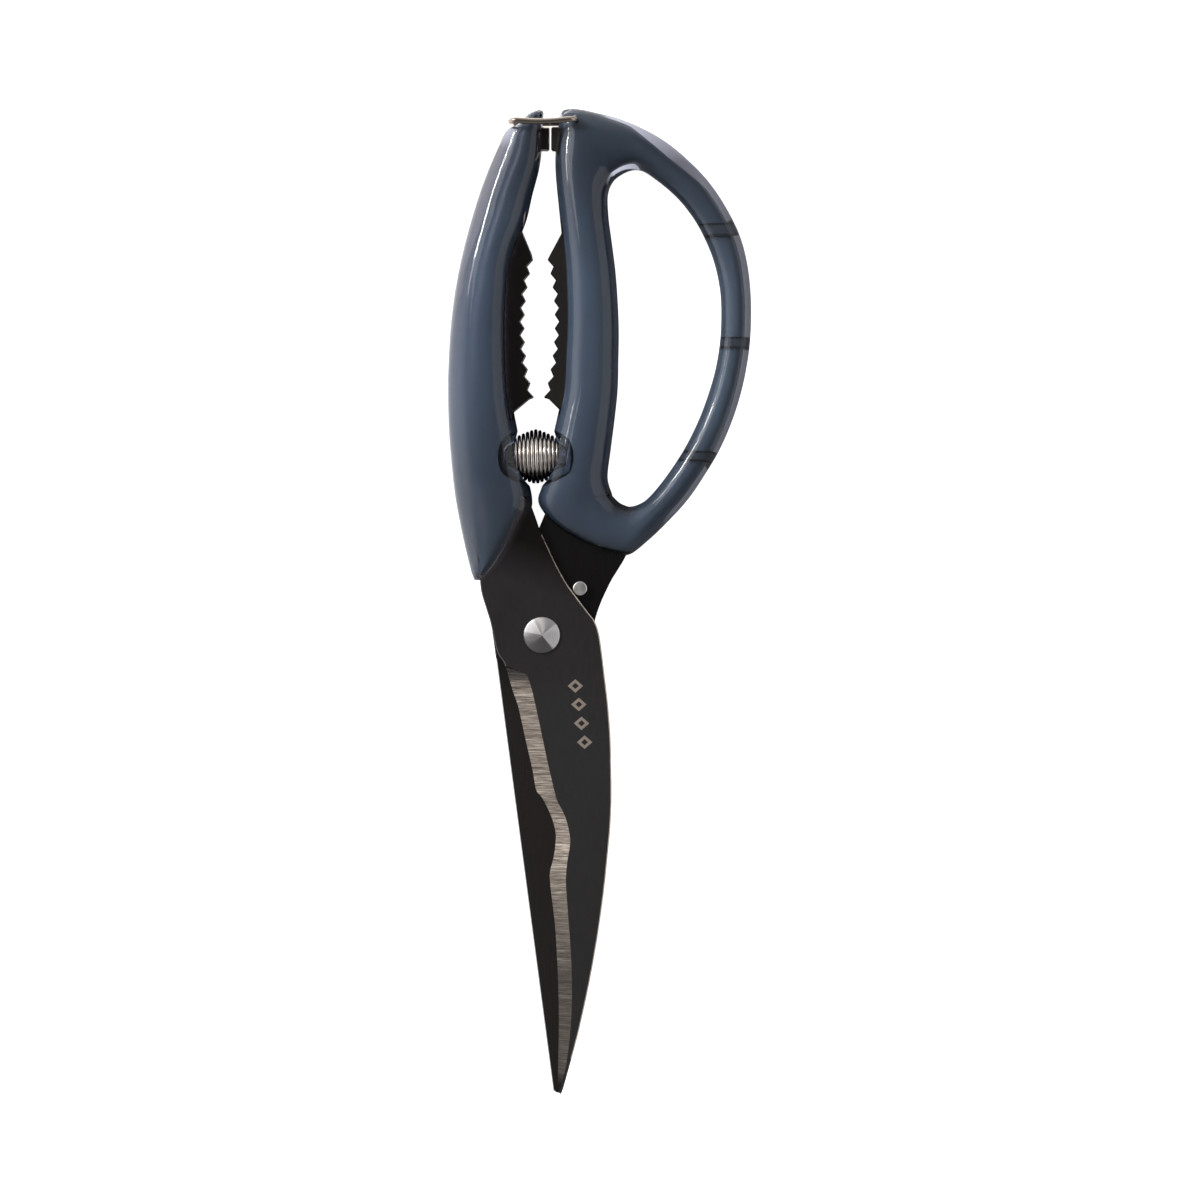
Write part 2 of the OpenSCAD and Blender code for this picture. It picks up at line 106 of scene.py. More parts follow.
# ------------------------------------------------------------------ meshes
def to_object(name, verts, faces, smooth_angle=32.0, mid=MID):
    """A mesh object from points in mm about the blade plane."""
    v = np.array(verts, float)
    v[:, 2] += mid
    me = bpy.data.meshes.new(name)
    me.from_pydata((v * MM).tolist(), [], [list(map(int, f)) for f in faces])
    me.validate()
    bm = bmesh.new()
    bm.from_mesh(me)
    bmesh.ops.remove_doubles(bm, verts=bm.verts, dist=1e-7)
    bmesh.ops.recalc_face_normals(bm, faces=bm.faces)
    bm.to_mesh(me)
    bm.free()
    soften(me, smooth_angle)
    ob = bpy.data.objects.new(name, me)
    COLL.objects.link(ob)
    return ob


def soften(me, angle=32.0):
    me.polygons.foreach_set("use_smooth", [True] * len(me.polygons))
    me.set_sharp_from_angle(angle=math.radians(angle))
    me.update()


def sweep(name, S, k, n, closed=False, smooth_angle=40.0):
    m = len(S)
    pts = np.concatenate([section(s, k, n) for s in S])
    faces = []
    for i in range(m if closed else m - 1):
        a, b = i * n, ((i + 1) % m) * n
        for j in range(n):
            j2 = (j + 1) % n
            faces.append((a + j, a + j2, b + j2, b + j))
    if not closed:
        faces.append(tuple(range(n - 1, -1, -1)))
        faces.append(tuple((m - 1) * n + j for j in range(n)))
    return to_object(name, pts, faces, smooth_angle)


def lathe(name, profile, centre=(0, 0), n=96, smooth_angle=28.0, mid=MID):
    """profile is [(r, z)], axis Z."""
    P = np.array(profile, float)
    verts, faces = [], []
    for i in range(n):
        a = 2 * np.pi * i / n
        for r, z in P:
            verts.append((centre[0] + r * math.cos(a),
                          centre[1] + r * math.sin(a), z))
    m = len(P)
    for i in range(n):
        a, b = i * m, ((i + 1) % n) * m
        for j in range(m - 1):
            faces.append((a + j, b + j, b + j + 1, a + j + 1))
    return to_object(name, verts, faces, smooth_angle, mid)


def tube(name, path, radius, n=16, smooth_angle=50.0):
    """A round wire along path (mm), with rounded ends."""
    P = np.array(path, float)
    T = np.gradient(P, axis=0)
    T /= np.linalg.norm(T, axis=1)[:, None]
    up = np.array([0, 0, 1.0]) if abs(T[0][2]) < 0.9 else np.array([0, 1.0, 0])
    N = np.cross(T[0], up)
    N /= np.linalg.norm(N)
    rings, R = [], np.broadcast_to(np.array(radius, float), (len(P),)).copy()
    # rounded ends
    P2, T2, R2 = [], [], []
    for s in (0.95, 0.75, 0.4):
        P2.append(P[0] - T[0] * R[0] * 0.6 * s)
        T2.append(T[0])
        R2.append(R[0] * math.sqrt(1 - s * s))
    P2 += list(P)
    T2 += list(T)
    R2 += list(R)
    for s in (0.4, 0.75, 0.95):
        P2.append(P[-1] + T[-1] * R[-1] * 0.6 * s)
        T2.append(T[-1])
        R2.append(R[-1] * math.sqrt(1 - s * s))
    verts, faces = [], []
    for p, t, r in zip(P2, T2, R2):
        N = N - t * np.dot(N, t)
        N /= np.linalg.norm(N)
        B = np.cross(t, N)
        for j in range(n):
            a = 2 * np.pi * j / n
            verts.append(p + r * (math.cos(a) * N + math.sin(a) * B))
    m = len(P2)
    for i in range(m - 1):
        for j in range(n):
            j2 = (j + 1) % n
            faces.append((i * n + j, i * n + j2, (i + 1) * n + j2, (i + 1) * n + j))
    faces.append(tuple(range(n - 1, -1, -1)))
    faces.append(tuple((m - 1) * n + j for j in range(n)))
    return to_object(name, verts, faces, smooth_angle)


def boolean(ob, cutter, op="DIFFERENCE", keep=False, smooth_angle=40.0):
    mod = ob.modifiers.new("cut", "BOOLEAN")
    mod.operation = op
    mod.solver = "EXACT"
    mod.object = cutter
    bpy.context.view_layer.update()
    dg = bpy.context.evaluated_depsgraph_get()
    me = bpy.data.meshes.new_from_object(ob.evaluated_get(dg))
    ob.modifiers.clear()
    ob.data = me
    soften(me, smooth_angle)
    if not keep:
        bpy.data.objects.remove(cutter)


# ---------------------------------------------------------------- outlines
FB_RIGHT = np.concatenate([
    smooth([(4.9, -119.1), (5.5, -117.8), (7.2, -111.8), (9.3, -104),
            (11.1, -96.2), (12.7, -88.4), (14.1, -80.6), (15.3, -72.8),
            (16.3, -65), (17.1, -57.2), (17.8, -49.4), (18.1, -41.6),
            (18, -33.8), (17.8, -26), (17.2, -18.2), (16.3, -10.4),
            (15.3, -2.4), (14.6, 1.3), (13.7, 3.7)]),
    smooth([(13.3, 4.3), (11.9, 6), (9.1, 9.7), (6.3, 13.6), (3.6, 18.5),
            (1.2, 23.6), (-0.5, 27.3), (-1.3, 29.6), (-2.5, 32.9)])])
CUT_EDGE = [(-9.3, -8.5), (-8.6, -11), (-7.4, -15), (-6.3, -18.1),
            (-5.2, -22.8), (-4.2, -27.4), (-2.4, -35.2), (-1.5, -40.2),
            (0.1, -42.4), (2.2, -46.6), (3.5, -50.9), (3.5, -54.5), (3, -58),
            (2.1, -61.6), (2.2, -65.2), (3.3, -74.4), (3.8, -81.6),
            (4.2, -90.1), (4.4, -100.8), (4.2, -111.5), (4.0, -118.8)]
BEVEL_IN = [(-4.2, -10.1), (-3.6, -11), (-2.5, -14.5), (-1.6, -18.4),
            (-0.6, -23), (0.4, -27.8), (2, -35.2), (3.3, -40.6), (4.1, -43.2),
            (6.1, -47.2), (7.2, -51.6), (7.3, -54.5), (6.6, -59), (6.3, -62.3),
            (6.3, -65.4), (6.9, -73.7), (7.4, -80.4), (7.8, -89.5),
            (7.6, -100.2), (6.35, -111.2), (4.62, -118.2)]
FB_LOW = [(-3.4, 34.8), (-6.5, 36.6), (-10.5, 38.6), (-11.8, 40.2),
          (-11.8, 52.6), (-9.6, 55.4), (-7.1, 58), (-3.3, 61.2)]
FB_TOP = [(-2.6, 98.9), (-5, 104.7), (-5.6, 107.5), (-5.4, 112), (-4.4, 117.5),
          (-2.8, 122.5), (-1.4, 125.2), (0, 125.8), (1.6, 125.8), (2, 126.2),
          (2, 131.6), (1.6, 132), (-0.5, 132)]
FB_LEFT = smooth([(-3.2, 130.8), (-5.8, 127.6), (-9, 120.6), (-12, 112.6),
                  (-15, 103), (-17.2, 95), (-18.6, 86), (-19.2, 76),
                  (-19.4, 66), (-19.2, 56), (-18.8, 46), (-18.1, 38),
                  (-17.3, 30), (-16.6, 23), (-16.2, 17.5), (-15.8, 11.7),
                  (-14.3, 6.5), (-13.5, 3.9), (-12.9, 1.3), (-12.1, -2.6),
                  (-11.2, -5.2), (-10, -6.8), (-9.45, -8.1)], 6)
BB_EDGE = [(13.8, 1.5), (13.4, -4), (12, -12), (10.8, -25), (9.8, -45),
           (8.9, -65), (7.9, -85), (6.5, -105), (5, -117.5)]
BB_BEVEL = [(10.3, 1.5), (10, -4.5), (8.6, -12.5), (7.4, -25.2), (6.4, -45.2),
            (5.5, -65), (4.6, -84.6), (3.6, -104.4), (3.2, -115.5)]
BB_RIGHT = smooth([(13.8, 3.9), (14.6, 6.5), (15.6, 9.1), (16.8, 11.7),
                   (18.1, 14.3), (19.7, 16.9), (21.8, 20.5), (22.6, 23.5),
                   (22, 27), (19.6, 30.4), (16.4, 33.8), (14.2, 38),
                   (13.6, 47), (14, 56), (14.6, 66), (14.9, 76), (14.8, 86),
                   (14.3, 95), (13.6, 104), (13.2, 112), (12.4, 120),
                   (10.2, 127), (7, 131.2)], 6)
BB_TOP = [(4.8, 132), (2.8, 132), (2.4, 131.6), (2.4, 126.2), (2.8, 125.8),
          (4.6, 125.6), (6, 123), (6.9, 118), (7, 112), (6.4, 107.6),
          (5.1, 104.4), (1.8, 98.2)]
BB_LOW = [(1.8, 61.3), (4.4, 58.7), (6.6, 55.6), (8.4, 52.6), (8.4, 40.4),
          (5.2, 38.4), (2.6, 35.2)]
BB_LEFT = smooth([(0.8, 31.6), (-0.7, 28), (-3.5, 22), (-7, 15.5),
                  (-10.3, 9), (-12.2, 4), (-12.9, 1.2), (-12.6, -1.3),
                  (-11.7, -8)], 6)


def left_tip(y):
    return -4.5 + 0.0072 * (y - 80) ** 2


def right_tip(y):
    return 3.35 - 0.0072 * (y - 81.5) ** 2


def tooth_row(ys, tip, depth, out):
    """Rounded teeth: out is +1 when the tips point to +X."""
    pitch = abs(ys[1] - ys[0])
    pts = []
    step = ys[1] - ys[0]
    for i, y in enumerate(ys):
        pts += [(tip(y - 0.07 * step) - out * 0.12 * depth, y - 0.07 * step),
                (tip(y), y),
                (tip(y + 0.07 * step) - out * 0.12 * depth, y + 0.07 * step)]
        if i < len(ys) - 1:
            v = y + step / 2
            pts += [(tip(v) - out * depth * 0.93, v - 0.04 * step),
                    (tip(v) - out * depth, v),
                    (tip(v) - out * depth * 0.93, v + 0.04 * step)]
    return pts


Y_TEETH = [61.9 + 3.56 * i for i in range(11)]
LEFT_TEETH = tooth_row(Y_TEETH, left_tip, 1.1, 1)
RIGHT_TEETH = tooth_row(Y_TEETH[::-1], right_tip, 1.1, -1)

LEFT_GRIP = np.array([
    [-17.6, 14.3, -15.6, 14.2, 3.2], [-18.1, 15.6, -14.1, 15.3, 4.2],
    [-18.7, 17.6, -12.2, 17, 4.9], [-19.5, 20.8, -9.8, 19.8, 5.5],
    [-20.6, 25.5, -7, 24.3, 6.2], [-21.6, 30.4, -4.6, 29.3, 6.9],
    [-22.4, 34.8, -2.7, 33, 7.4], [-22.9, 38.2, -2.6, 36.2, 7.7],
    [-23.3, 41.8, -3.6, 40.6, 7.9], [-23.9, 48.1, -5, 47.2, 8],
    [-24.3, 54, -6.4, 53.6, 8], [-24.5, 60.4, -7.6, 60.2, 8],
    [-24.5, 67, -8.2, 67.2, 8], [-24.2, 74, -8.4, 74.2, 8],
    [-23.7, 81, -8.5, 81.5, 8], [-22.8, 88.2, -8.2, 89, 8],
    [-21.6, 95, -7.8, 95.6, 7.9], [-20, 102, -6.4, 101.4, 7.6],
    [-17.9, 109.5, -4, 107.8, 7], [-15.8, 116, -2.4, 114.6, 6.3],
    [-13.4, 122.2, -0.9, 120.2, 5.8], [-11.2, 127.2, -0.1, 125, 5.5],
    [-9.8, 130.4, 0, 128.6, 5.4], [-8.6, 131.7, 0, 130.4, 5.4],
    [-7.3, 132.1, 0.1, 131.6, 5.3], [-6.2, 132.8, 0.2, 132.6, 5.3],
    [-4.8, 134.3, 0.4, 133.9, 5.1], [-3.3, 135.6, 0.5, 135, 4.5],
    [-1.8, 136.2, 0.5, 135.8, 3.4], [-1, 136.5, 0.2, 136.3, 2.2]])
RIGHT_GRIP = np.array([
    [18.2, 36.8, -1, 35.4, 6.8], [17.1, 41, 0.2, 39.3, 7.4],
    [17.9, 48.1, 1.8, 47, 7.5], [18.9, 55.9, 3.7, 55.4, 7.5],
    [19.7, 63.7, 5.4, 63.6, 7.5], [19.9, 71.5, 5.8, 71, 7.5],
    [20, 79.3, 6.2, 79, 7.5], [19.7, 87.1, 6.2, 87, 7.5],
    [19.1, 94.9, 5.9, 95.5, 7.5], [18.1, 102.7, 5.1, 104, 7.3],
    [17.4, 107.9, 4.4, 111, 6.9], [17.1, 113.1, 3.6, 119.4, 6.4],
    [17.5, 115.7, 3.5, 125.6, 6], [18.2, 117.2, 4.2, 131.4, 5.7],
    [19.1, 118.4, 4.9, 135.9, 5.5], [20.6, 119.5, 8.5, 136.8, 5.4],
    [22.4, 120.4, 14.5, 135.7, 5.2], [24.4, 120.8, 21, 133.9, 5],
    [26.6, 120.3, 27, 131.3, 4.8], [29.2, 118.6, 32.8, 127.8, 4.6],
    [32.9, 115.7, 38.5, 123, 4.5], [36.6, 112, 43.4, 117.8, 4.5],
    [40.2, 107, 47.8, 111.3, 4.5], [43, 101.5, 51.4, 104, 4.5],
    [45, 96, 53.3, 97, 4.5], [46.3, 89.5, 54.2, 90, 4.5],
    [46.6, 83, 54.4, 83, 4.5], [46.3, 76.5, 54.1, 76, 4.5],
    [45.3, 70, 53.2, 69.5, 4.5], [43.7, 64, 51.8, 63, 4.5],
    [41.2, 57, 49.6, 56, 4.5], [38, 50.2, 46.4, 48.5, 4.5],
    [34.7, 44.7, 42.6, 42, 4.5], [31, 39.5, 37.9, 35.1, 4.5],
    [27.6, 35.6, 32.2, 28.9, 4.6], [25.2, 34, 27.2, 24.2, 4.8],
    [22.9, 33.4, 22.7, 20.9, 5], [21.4, 33.8, 18.4, 21.2, 5.1],
    [20.2, 34.4, 13.6, 22.7, 5.3], [19.3, 35.2, 8.4, 25.3, 5.6],
    [18.6, 35.9, 3.4, 28.8, 6], [18.3, 36.3, 0.1, 32.4, 6.4]])


# --------------------------------------------------------------- materials
def material(name):
    m = bpy.data.materials.new(name)
    m.use_nodes = True
    nt = m.node_tree
    nt.nodes.clear()
    out = nt.nodes.new("ShaderNodeOutputMaterial")
    p = nt.nodes.new("ShaderNodeBsdfPrincipled")
    nt.links.new(p.outputs[0], out.inputs["Surface"])
    return m, nt, p, out


def node(nt, kind, **inputs):
    n = nt.nodes.new(kind)
    for k, v in inputs.items():
        k = k.replace("_", " ")
        if k in n.inputs:
            n.inputs[k].default_value = v
        else:
            setattr(n, k.replace(" ", "_"), v)
    return n


def math_node(nt, op, a, b=None, clamp=False):
    n = nt.nodes.new("ShaderNodeMath")
    n.operation = op
    n.use_clamp = clamp
    for i, v in enumerate((a, b)):
        if v is None:
            continue
        if isinstance(v, (int, float)):
            n.inputs[i].default_value = v
        else:
            nt.links.new(v, n.inputs[i])
    return n.outputs[0]


def mix_colour(nt, fac, a, b):
    n = nt.nodes.new("ShaderNodeMix")
    n.data_type = "RGBA"
    for sock, v in ((n.inputs[0], fac), (n.inputs[6], a), (n.inputs[7], b)):
        if isinstance(v, (int, float)):
            sock.default_value = v
        elif isinstance(v, tuple):
            sock.default_value = (*v, 1)
        else:
            nt.links.new(v, sock)
    return n.outputs[2]


def coords(nt, scale=(1, 1, 1), rotation=(0, 0, 0)):
    tc = nt.nodes.new("ShaderNodeTexCoord")
    mp = nt.nodes.new("ShaderNodeMapping")
    mp.inputs["Scale"].default_value = scale
    mp.inputs["Rotation"].default_value = rotation
    nt.links.new(tc.outputs["Object"], mp.inputs["Vector"])
    return mp.outputs[0]


def noise(nt, vec, scale, detail=3.0, rough=0.55):
    n = nt.nodes.new("ShaderNodeTexNoise")
    n.inputs["Scale"].default_value = scale
    n.inputs["Detail"].default_value = detail
    n.inputs["Roughness"].default_value = rough
    nt.links.new(vec, n.inputs["Vector"])
    return n.outputs[0]


def ramp(nt, fac, stops):
    r = nt.nodes.new("ShaderNodeValToRGB")
    r.color_ramp.elements[0].position = stops[0][0]
    r.color_ramp.elements[0].color = (*stops[0][1], 1)
    r.color_ramp.elements[1].position = stops[-1][0]
    r.color_ramp.elements[1].color = (*stops[-1][1], 1)
    for pos, col in stops[1:-1]:
        e = r.color_ramp.elements.new(pos)
        e.color = (*col, 1)
    nt.links.new(fac, r.inputs[0])
    return r.outputs[0]


def to_range(nt, v, lo, hi, a=0.0, b=1.0):
    n = nt.nodes.new("ShaderNodeMapRange")
    n.inputs["From Min"].default_value = lo
    n.inputs["From Max"].default_value = hi
    n.inputs["To Min"].default_value = a
    n.inputs["To Max"].default_value = b
    nt.links.new(v, n.inputs["Value"])
    return n.outputs[0]


def bump(nt, p, height, distance, strength=1.0):
    b = nt.nodes.new("ShaderNodeBump")
    b.inputs["Distance"].default_value = distance
    b.inputs["Strength"].default_value = strength
    nt.links.new(height, b.inputs["Height"])
    nt.links.new(b.outputs[0], p.inputs["Normal"])


def etched(nt):
    """Four small etched lozenges in a row on the blade's outer face."""
    tc = nt.nodes.new("ShaderNodeTexCoord")
    sep = nt.nodes.new("ShaderNodeSeparateXYZ")
    nt.links.new(tc.outputs["Object"], sep.inputs[0])
    total = None
    for cx, cy in ((8.7, -13.2), (9.6, -18.0), (10.3, -22.9), (11.1, -27.8)):
        dx = math_node(nt, "ABSOLUTE", math_node(nt, "SUBTRACT", sep.outputs["X"], cx * MM))
        dy = math_node(nt, "ABSOLUTE", math_node(nt, "SUBTRACT", sep.outputs["Y"], cy * MM))
        q = math_node(nt, "ADD", math_node(nt, "MULTIPLY", dx, 1 / (2.0 * MM)),
                      math_node(nt, "MULTIPLY", dy, 1 / (1.75 * MM)))
        inside = to_range(nt, q, 0.97, 1.03, 1.0, 0.0)
        hole = to_range(nt, q, 0.42, 0.5, 0.0, 1.0)
        one = math_node(nt, "MULTIPLY", inside, hole)
        total = one if total is None else math_node(nt, "MAXIMUM", total, one)
    up = math_node(nt, "GREATER_THAN", sep.outputs["Z"], (MID + Z1 - 0.05) * MM)
    return math_node(nt, "MULTIPLY", total, up)


def black_coating(name, tint, tint2, rough=0.3, marks_and_shade=False, shaded_neck=False):
    """Black vacuum-coated steel: satin, faintly brushed along the blade."""
    m, nt, p, out = material(name)
    grain = noise(nt, coords(nt, (2600, 160, 400)), 1.0, 4, 0.6)
    cloud = noise(nt, coords(nt, (28, 16, 28)), 1.0, 2, 0.4)
    specks = noise(nt, coords(nt, (2500, 2500, 2500)), 1.0, 1, 0.5)
    base = mix_colour(nt, to_range(nt, cloud, 0.35, 0.65), tint, tint2)
    base = mix_colour(nt, to_range(nt, grain, 0.55, 0.9, 0, 0.35), base,
                      tuple(c * 1.5 for c in tint))
    if shaded_neck:
        # painted shade: the back blade's face keeps the dark tint on its neck, between about 6 and 34 mm,
        # and turns lighter below -20 mm and above 56 mm
        tc = nt.nodes.new("ShaderNodeTexCoord")
        sep = nt.nodes.new("ShaderNodeSeparateXYZ")
        nt.links.new(tc.outputs["Object"], sep.inputs[0])
        away_from_shaded_neck = math_node(nt, "MAXIMUM", to_range(nt, sep.outputs["Y"], 0.006, -0.02),
                         to_range(nt, sep.outputs["Y"], 0.034, 0.056))
        base = mix_colour(nt, away_from_shaded_neck, base, (0.058, 0.051, 0.048))
    if marks_and_shade:
        tc = nt.nodes.new("ShaderNodeTexCoord")
        sep = nt.nodes.new("ShaderNodeSeparateXYZ")
        nt.links.new(tc.outputs["Object"], sep.inputs[0])
        # painted shade: the coating turns darker from about 11 to 23 mm up the blade (leaning with x), over
        # the neck, under the grips and on the jaws
        base = mix_colour(nt, to_range(nt, math_node(
            nt, "ADD", sep.outputs["Y"], math_node(nt, "MULTIPLY", sep.outputs["X"], 0.35)),
            0.011, 0.023), base, (0.02, 0.016, 0.0145))
        base = mix_colour(nt, etched(nt), base, (0.72, 0.6, 0.5))
    nt.links.new(base, p.inputs["Base Color"])
    r = math_node(nt, "ADD", to_range(nt, grain, 0.3, 0.7, rough - 0.04, rough + 0.06),
                  to_range(nt, specks, 0.45, 0.75, 0.0, 0.05))
    nt.links.new(r, p.inputs["Roughness"])
    p.inputs["Metallic"].default_value = 0.85
    bump(nt, p, grain, 0.00001, 0.35)
    return m


def bare_edge(name):
    """Ground bare steel of the thin chamfers, slightly straw coloured."""
    m, nt, p, out = material(name)
    g = noise(nt, coords(nt, (500, 500, 500)), 1.0, 3)
    c = ramp(nt, g, [(0.3, (0.5, 0.41, 0.33)), (0.7, (0.8, 0.71, 0.61))])
    nt.links.new(c, p.inputs["Base Color"])
    nt.links.new(to_range(nt, g, 0.3, 0.7, 0.28, 0.42), p.inputs["Roughness"])
    p.inputs["Metallic"].default_value = 1.0
    return m


def ground_bevel(name):
    """The ground bevel: fine grinding lines across the edge, uneven in tone;
    painted shade darkens it towards the tip, at the very tip and at its upper end."""
    m, nt, p, out = material(name)
    turn = (0, 0, math.radians(-9))
    fine = noise(nt, coords(nt, (260, 8600, 260), turn), 1.0, 2, 0.7)
    broad = noise(nt, coords(nt, (110, 3000, 110), turn), 1.0, 3, 0.65)
    cloud = noise(nt, coords(nt, (90, 150, 90)), 1.0, 2, 0.5)
    t = math_node(nt, "ADD", math_node(nt, "MULTIPLY", fine, 0.5),
                  math_node(nt, "MULTIPLY", broad, 0.5))
    c = ramp(nt, t, [(0.36, (0.045, 0.036, 0.03)), (0.45, (0.16, 0.135, 0.112)),
                     (0.54, (0.32, 0.272, 0.225)), (0.64, (0.66, 0.585, 0.51))])
    c = mix_colour(nt, to_range(nt, cloud, 0.35, 0.65, 0.0, 0.4), c, (0.15, 0.125, 0.105))
    tc = nt.nodes.new("ShaderNodeTexCoord")
    sep = nt.nodes.new("ShaderNodeSeparateXYZ")
    nt.links.new(tc.outputs["Object"], sep.inputs[0])
    # painted shade: darker from 55 to 88 mm down the blade, near the tip and at the bevel's upper end by
    # the pivot
    down = to_range(nt, sep.outputs["Y"], -0.055, -0.088)
    c = mix_colour(nt, math_node(nt, "MULTIPLY", down, 0.78), c, (0.03, 0.026, 0.024))
    tip = to_range(nt, sep.outputs["Y"], -0.1135, -0.118)
    c = mix_colour(nt, math_node(nt, "MULTIPLY", tip, 0.9), c, (0.022, 0.02, 0.022))
    top = to_range(nt, sep.outputs["Y"], -0.0145, -0.0105)
    c = mix_colour(nt, math_node(nt, "MULTIPLY", top, 0.85), c, (0.02, 0.018, 0.018))
    nt.links.new(c, p.inputs["Base Color"])
    nt.links.new(to_range(nt, t, 0.3, 0.7, 0.34, 0.5), p.inputs["Roughness"])
    p.inputs["Metallic"].default_value = 0.9
    bump(nt, p, fine, 0.00001, 0.4)
    return m


def steel(name, colour, rough, aniso=0.0, rings=None, streak=(400, 400, 400),
          dark_flanks_painted=False):
    m, nt, p, out = material(name)
    g = noise(nt, coords(nt, streak), 1.0, 3, 0.6)
    c = mix_colour(nt, to_range(nt, g, 0.3, 0.7), tuple(v * 0.82 for v in colour),
                   colour)
    if dark_flanks_painted:
        # painted shade: the coil is darker on its upper and lower flanks, more than about 3.5 mm from y =
        # 46.6 mm
        tc = nt.nodes.new("ShaderNodeTexCoord")
        sep = nt.nodes.new("ShaderNodeSeparateXYZ")
        nt.links.new(tc.outputs["Object"], sep.inputs[0])
        out_y = math_node(nt, "ABSOLUTE", math_node(nt, "SUBTRACT", sep.outputs["Y"], 0.0466))
        c = mix_colour(nt, to_range(nt, out_y, 0.0035, 0.0047), c, (0.09, 0.08, 0.075))
    nt.links.new(c, p.inputs["Base Color"])
    nt.links.new(to_range(nt, g, 0.3, 0.7, rough * 0.8, rough * 1.25),
                 p.inputs["Roughness"])
    p.inputs["Metallic"].default_value = 1.0
    if aniso:
        p.inputs["Anisotropic"].default_value = aniso
        t = nt.nodes.new("ShaderNodeTangent")
        t.direction_type = "RADIAL"
        t.axis = "Z"
        nt.links.new(t.outputs[0], p.inputs["Tangent"])
        tc = nt.nodes.new("ShaderNodeTexCoord")
        sep = nt.nodes.new("ShaderNodeSeparateXYZ")
        nt.links.new(tc.outputs["Object"], sep.inputs[0])
        ang = math_node(nt, "ARCTAN2", sep.outputs["Y"], sep.outputs["X"])
        # painted highlight: two wedges of sheen painted into the colour, to the upper left and to the
        # right; outside them painted shade, darker on the lower half
        painted_sheen = None
        for centre, half in ((2.5, 0.42), (-0.1, 0.76)):
            off = math_node(nt, "ABSOLUTE", math_node(nt, "SUBTRACT", ang, centre))
            one = to_range(nt, off, half + 0.09, half - 0.05)
            painted_sheen = one if painted_sheen is None else math_node(nt, "MAXIMUM", painted_sheen, one)
        shade = mix_colour(nt, to_range(nt, sep.outputs["Y"], -0.0006, 0.0006),
                           tuple(v * 0.16 for v in colour), tuple(v * 0.44 for v in colour))
        c = mix_colour(nt, painted_sheen, shade, c)
        flat = nt.nodes.new("ShaderNodeVectorMath")
        flat.operation = "MULTIPLY"
        flat.inputs[1].default_value = (1, 1, 0)
        nt.links.new(tc.outputs["Object"], flat.inputs[0])
        far = nt.nodes.new("ShaderNodeVectorMath")
        far.operation = "LENGTH"
        nt.links.new(flat.outputs[0], far.inputs[0])
        line = math_node(nt, "SINE", math_node(nt, "MULTIPLY", far.outputs["Value"], 14000.0))
        line = math_node(nt, "MULTIPLY", to_range(nt, line, 0.1, 0.9, 0.0, 0.3),
                         to_range(nt, far.outputs["Value"], 0.0015, 0.0035, 0.15, 1.0))
        c = mix_colour(nt, line, c, tuple(v * 0.3 for v in colour))
        p.inputs["Metallic"].default_value = 0.65
        nt.links.new(c, p.inputs["Base Color"])
    if rings:
        tc = nt.nodes.new("ShaderNodeTexCoord")
        sub = nt.nodes.new("ShaderNodeVectorMath")
        sub.operation = "MULTIPLY"
        sub.inputs[1].default_value = (1, 1, 0)
        nt.links.new(tc.outputs["Object"], sub.inputs[0])
        ln = nt.nodes.new("ShaderNodeVectorMath")
        ln.operation = "LENGTH"
        nt.links.new(sub.outputs[0], ln.inputs[0])
        w = math_node(nt, "SINE", math_node(nt, "MULTIPLY", ln.outputs["Value"], rings))
        bump(nt, p, w, 0.000002, 0.25)
    return m


def slate(name, colour, ends=False, rims=()):
    """Moulded slate-blue core, seen through the clear shell."""
    m, nt, p, out = material(name)
    flow = noise(nt, coords(nt, (70, 14, 70)), 1.0, 3, 0.5)
    fine = noise(nt, coords(nt, (900, 900, 900)), 1.0, 2, 0.5)
    c = mix_colour(nt, to_range(nt, flow, 0.35, 0.65), tuple(v * 0.88 for v in colour),
                   tuple(v * 1.12 for v in colour))
    if rims:
        # a darker line where each locator meets the core beside it
        tc = nt.nodes.new("ShaderNodeTexCoord")
        sep = nt.nodes.new("ShaderNodeSeparateXYZ")
        nt.links.new(tc.outputs["Object"], sep.inputs[0])
        rim = None
        for y in rims:
            off = math_node(nt, "ABSOLUTE", math_node(nt, "SUBTRACT", sep.outputs["Y"], y * MM))
            one = to_range(nt, off, 0.00075, 0.0004)
            rim = one if rim is None else math_node(nt, "MAXIMUM", rim, one)
        c = mix_colour(nt, rim, c, tuple(v * 0.36 for v in colour))
    if ends:
        # painted shade: the core is darker towards its two ends, above about 92 mm and below about 62 mm,
        # the lower end more so towards -x
        tc = nt.nodes.new("ShaderNodeTexCoord")
        sep = nt.nodes.new("ShaderNodeSeparateXYZ")
        nt.links.new(tc.outputs["Object"], sep.inputs[0])
        end_shade = math_node(nt, "MAXIMUM", to_range(nt, sep.outputs["Y"], 0.092, 0.122, 0.0, 1.0),
                          math_node(
                              nt, "MULTIPLY", to_range(nt, sep.outputs["Y"], 0.062, 0.034, 0.0, 1.0),
                              to_range(nt, sep.outputs["X"], -0.002, -0.014, 0.4, 0.85)))
        c = mix_colour(nt, end_shade, c, tuple(v * 0.5 for v in colour))
    nt.links.new(c, p.inputs["Base Color"])
    nt.links.new(to_range(nt, fine, 0.3, 0.7, 0.32, 0.42), p.inputs["Roughness"])
    p.inputs["Specular IOR Level"].default_value = 0.25
    bump(nt, p, fine, 0.000003, 0.05)
    return m


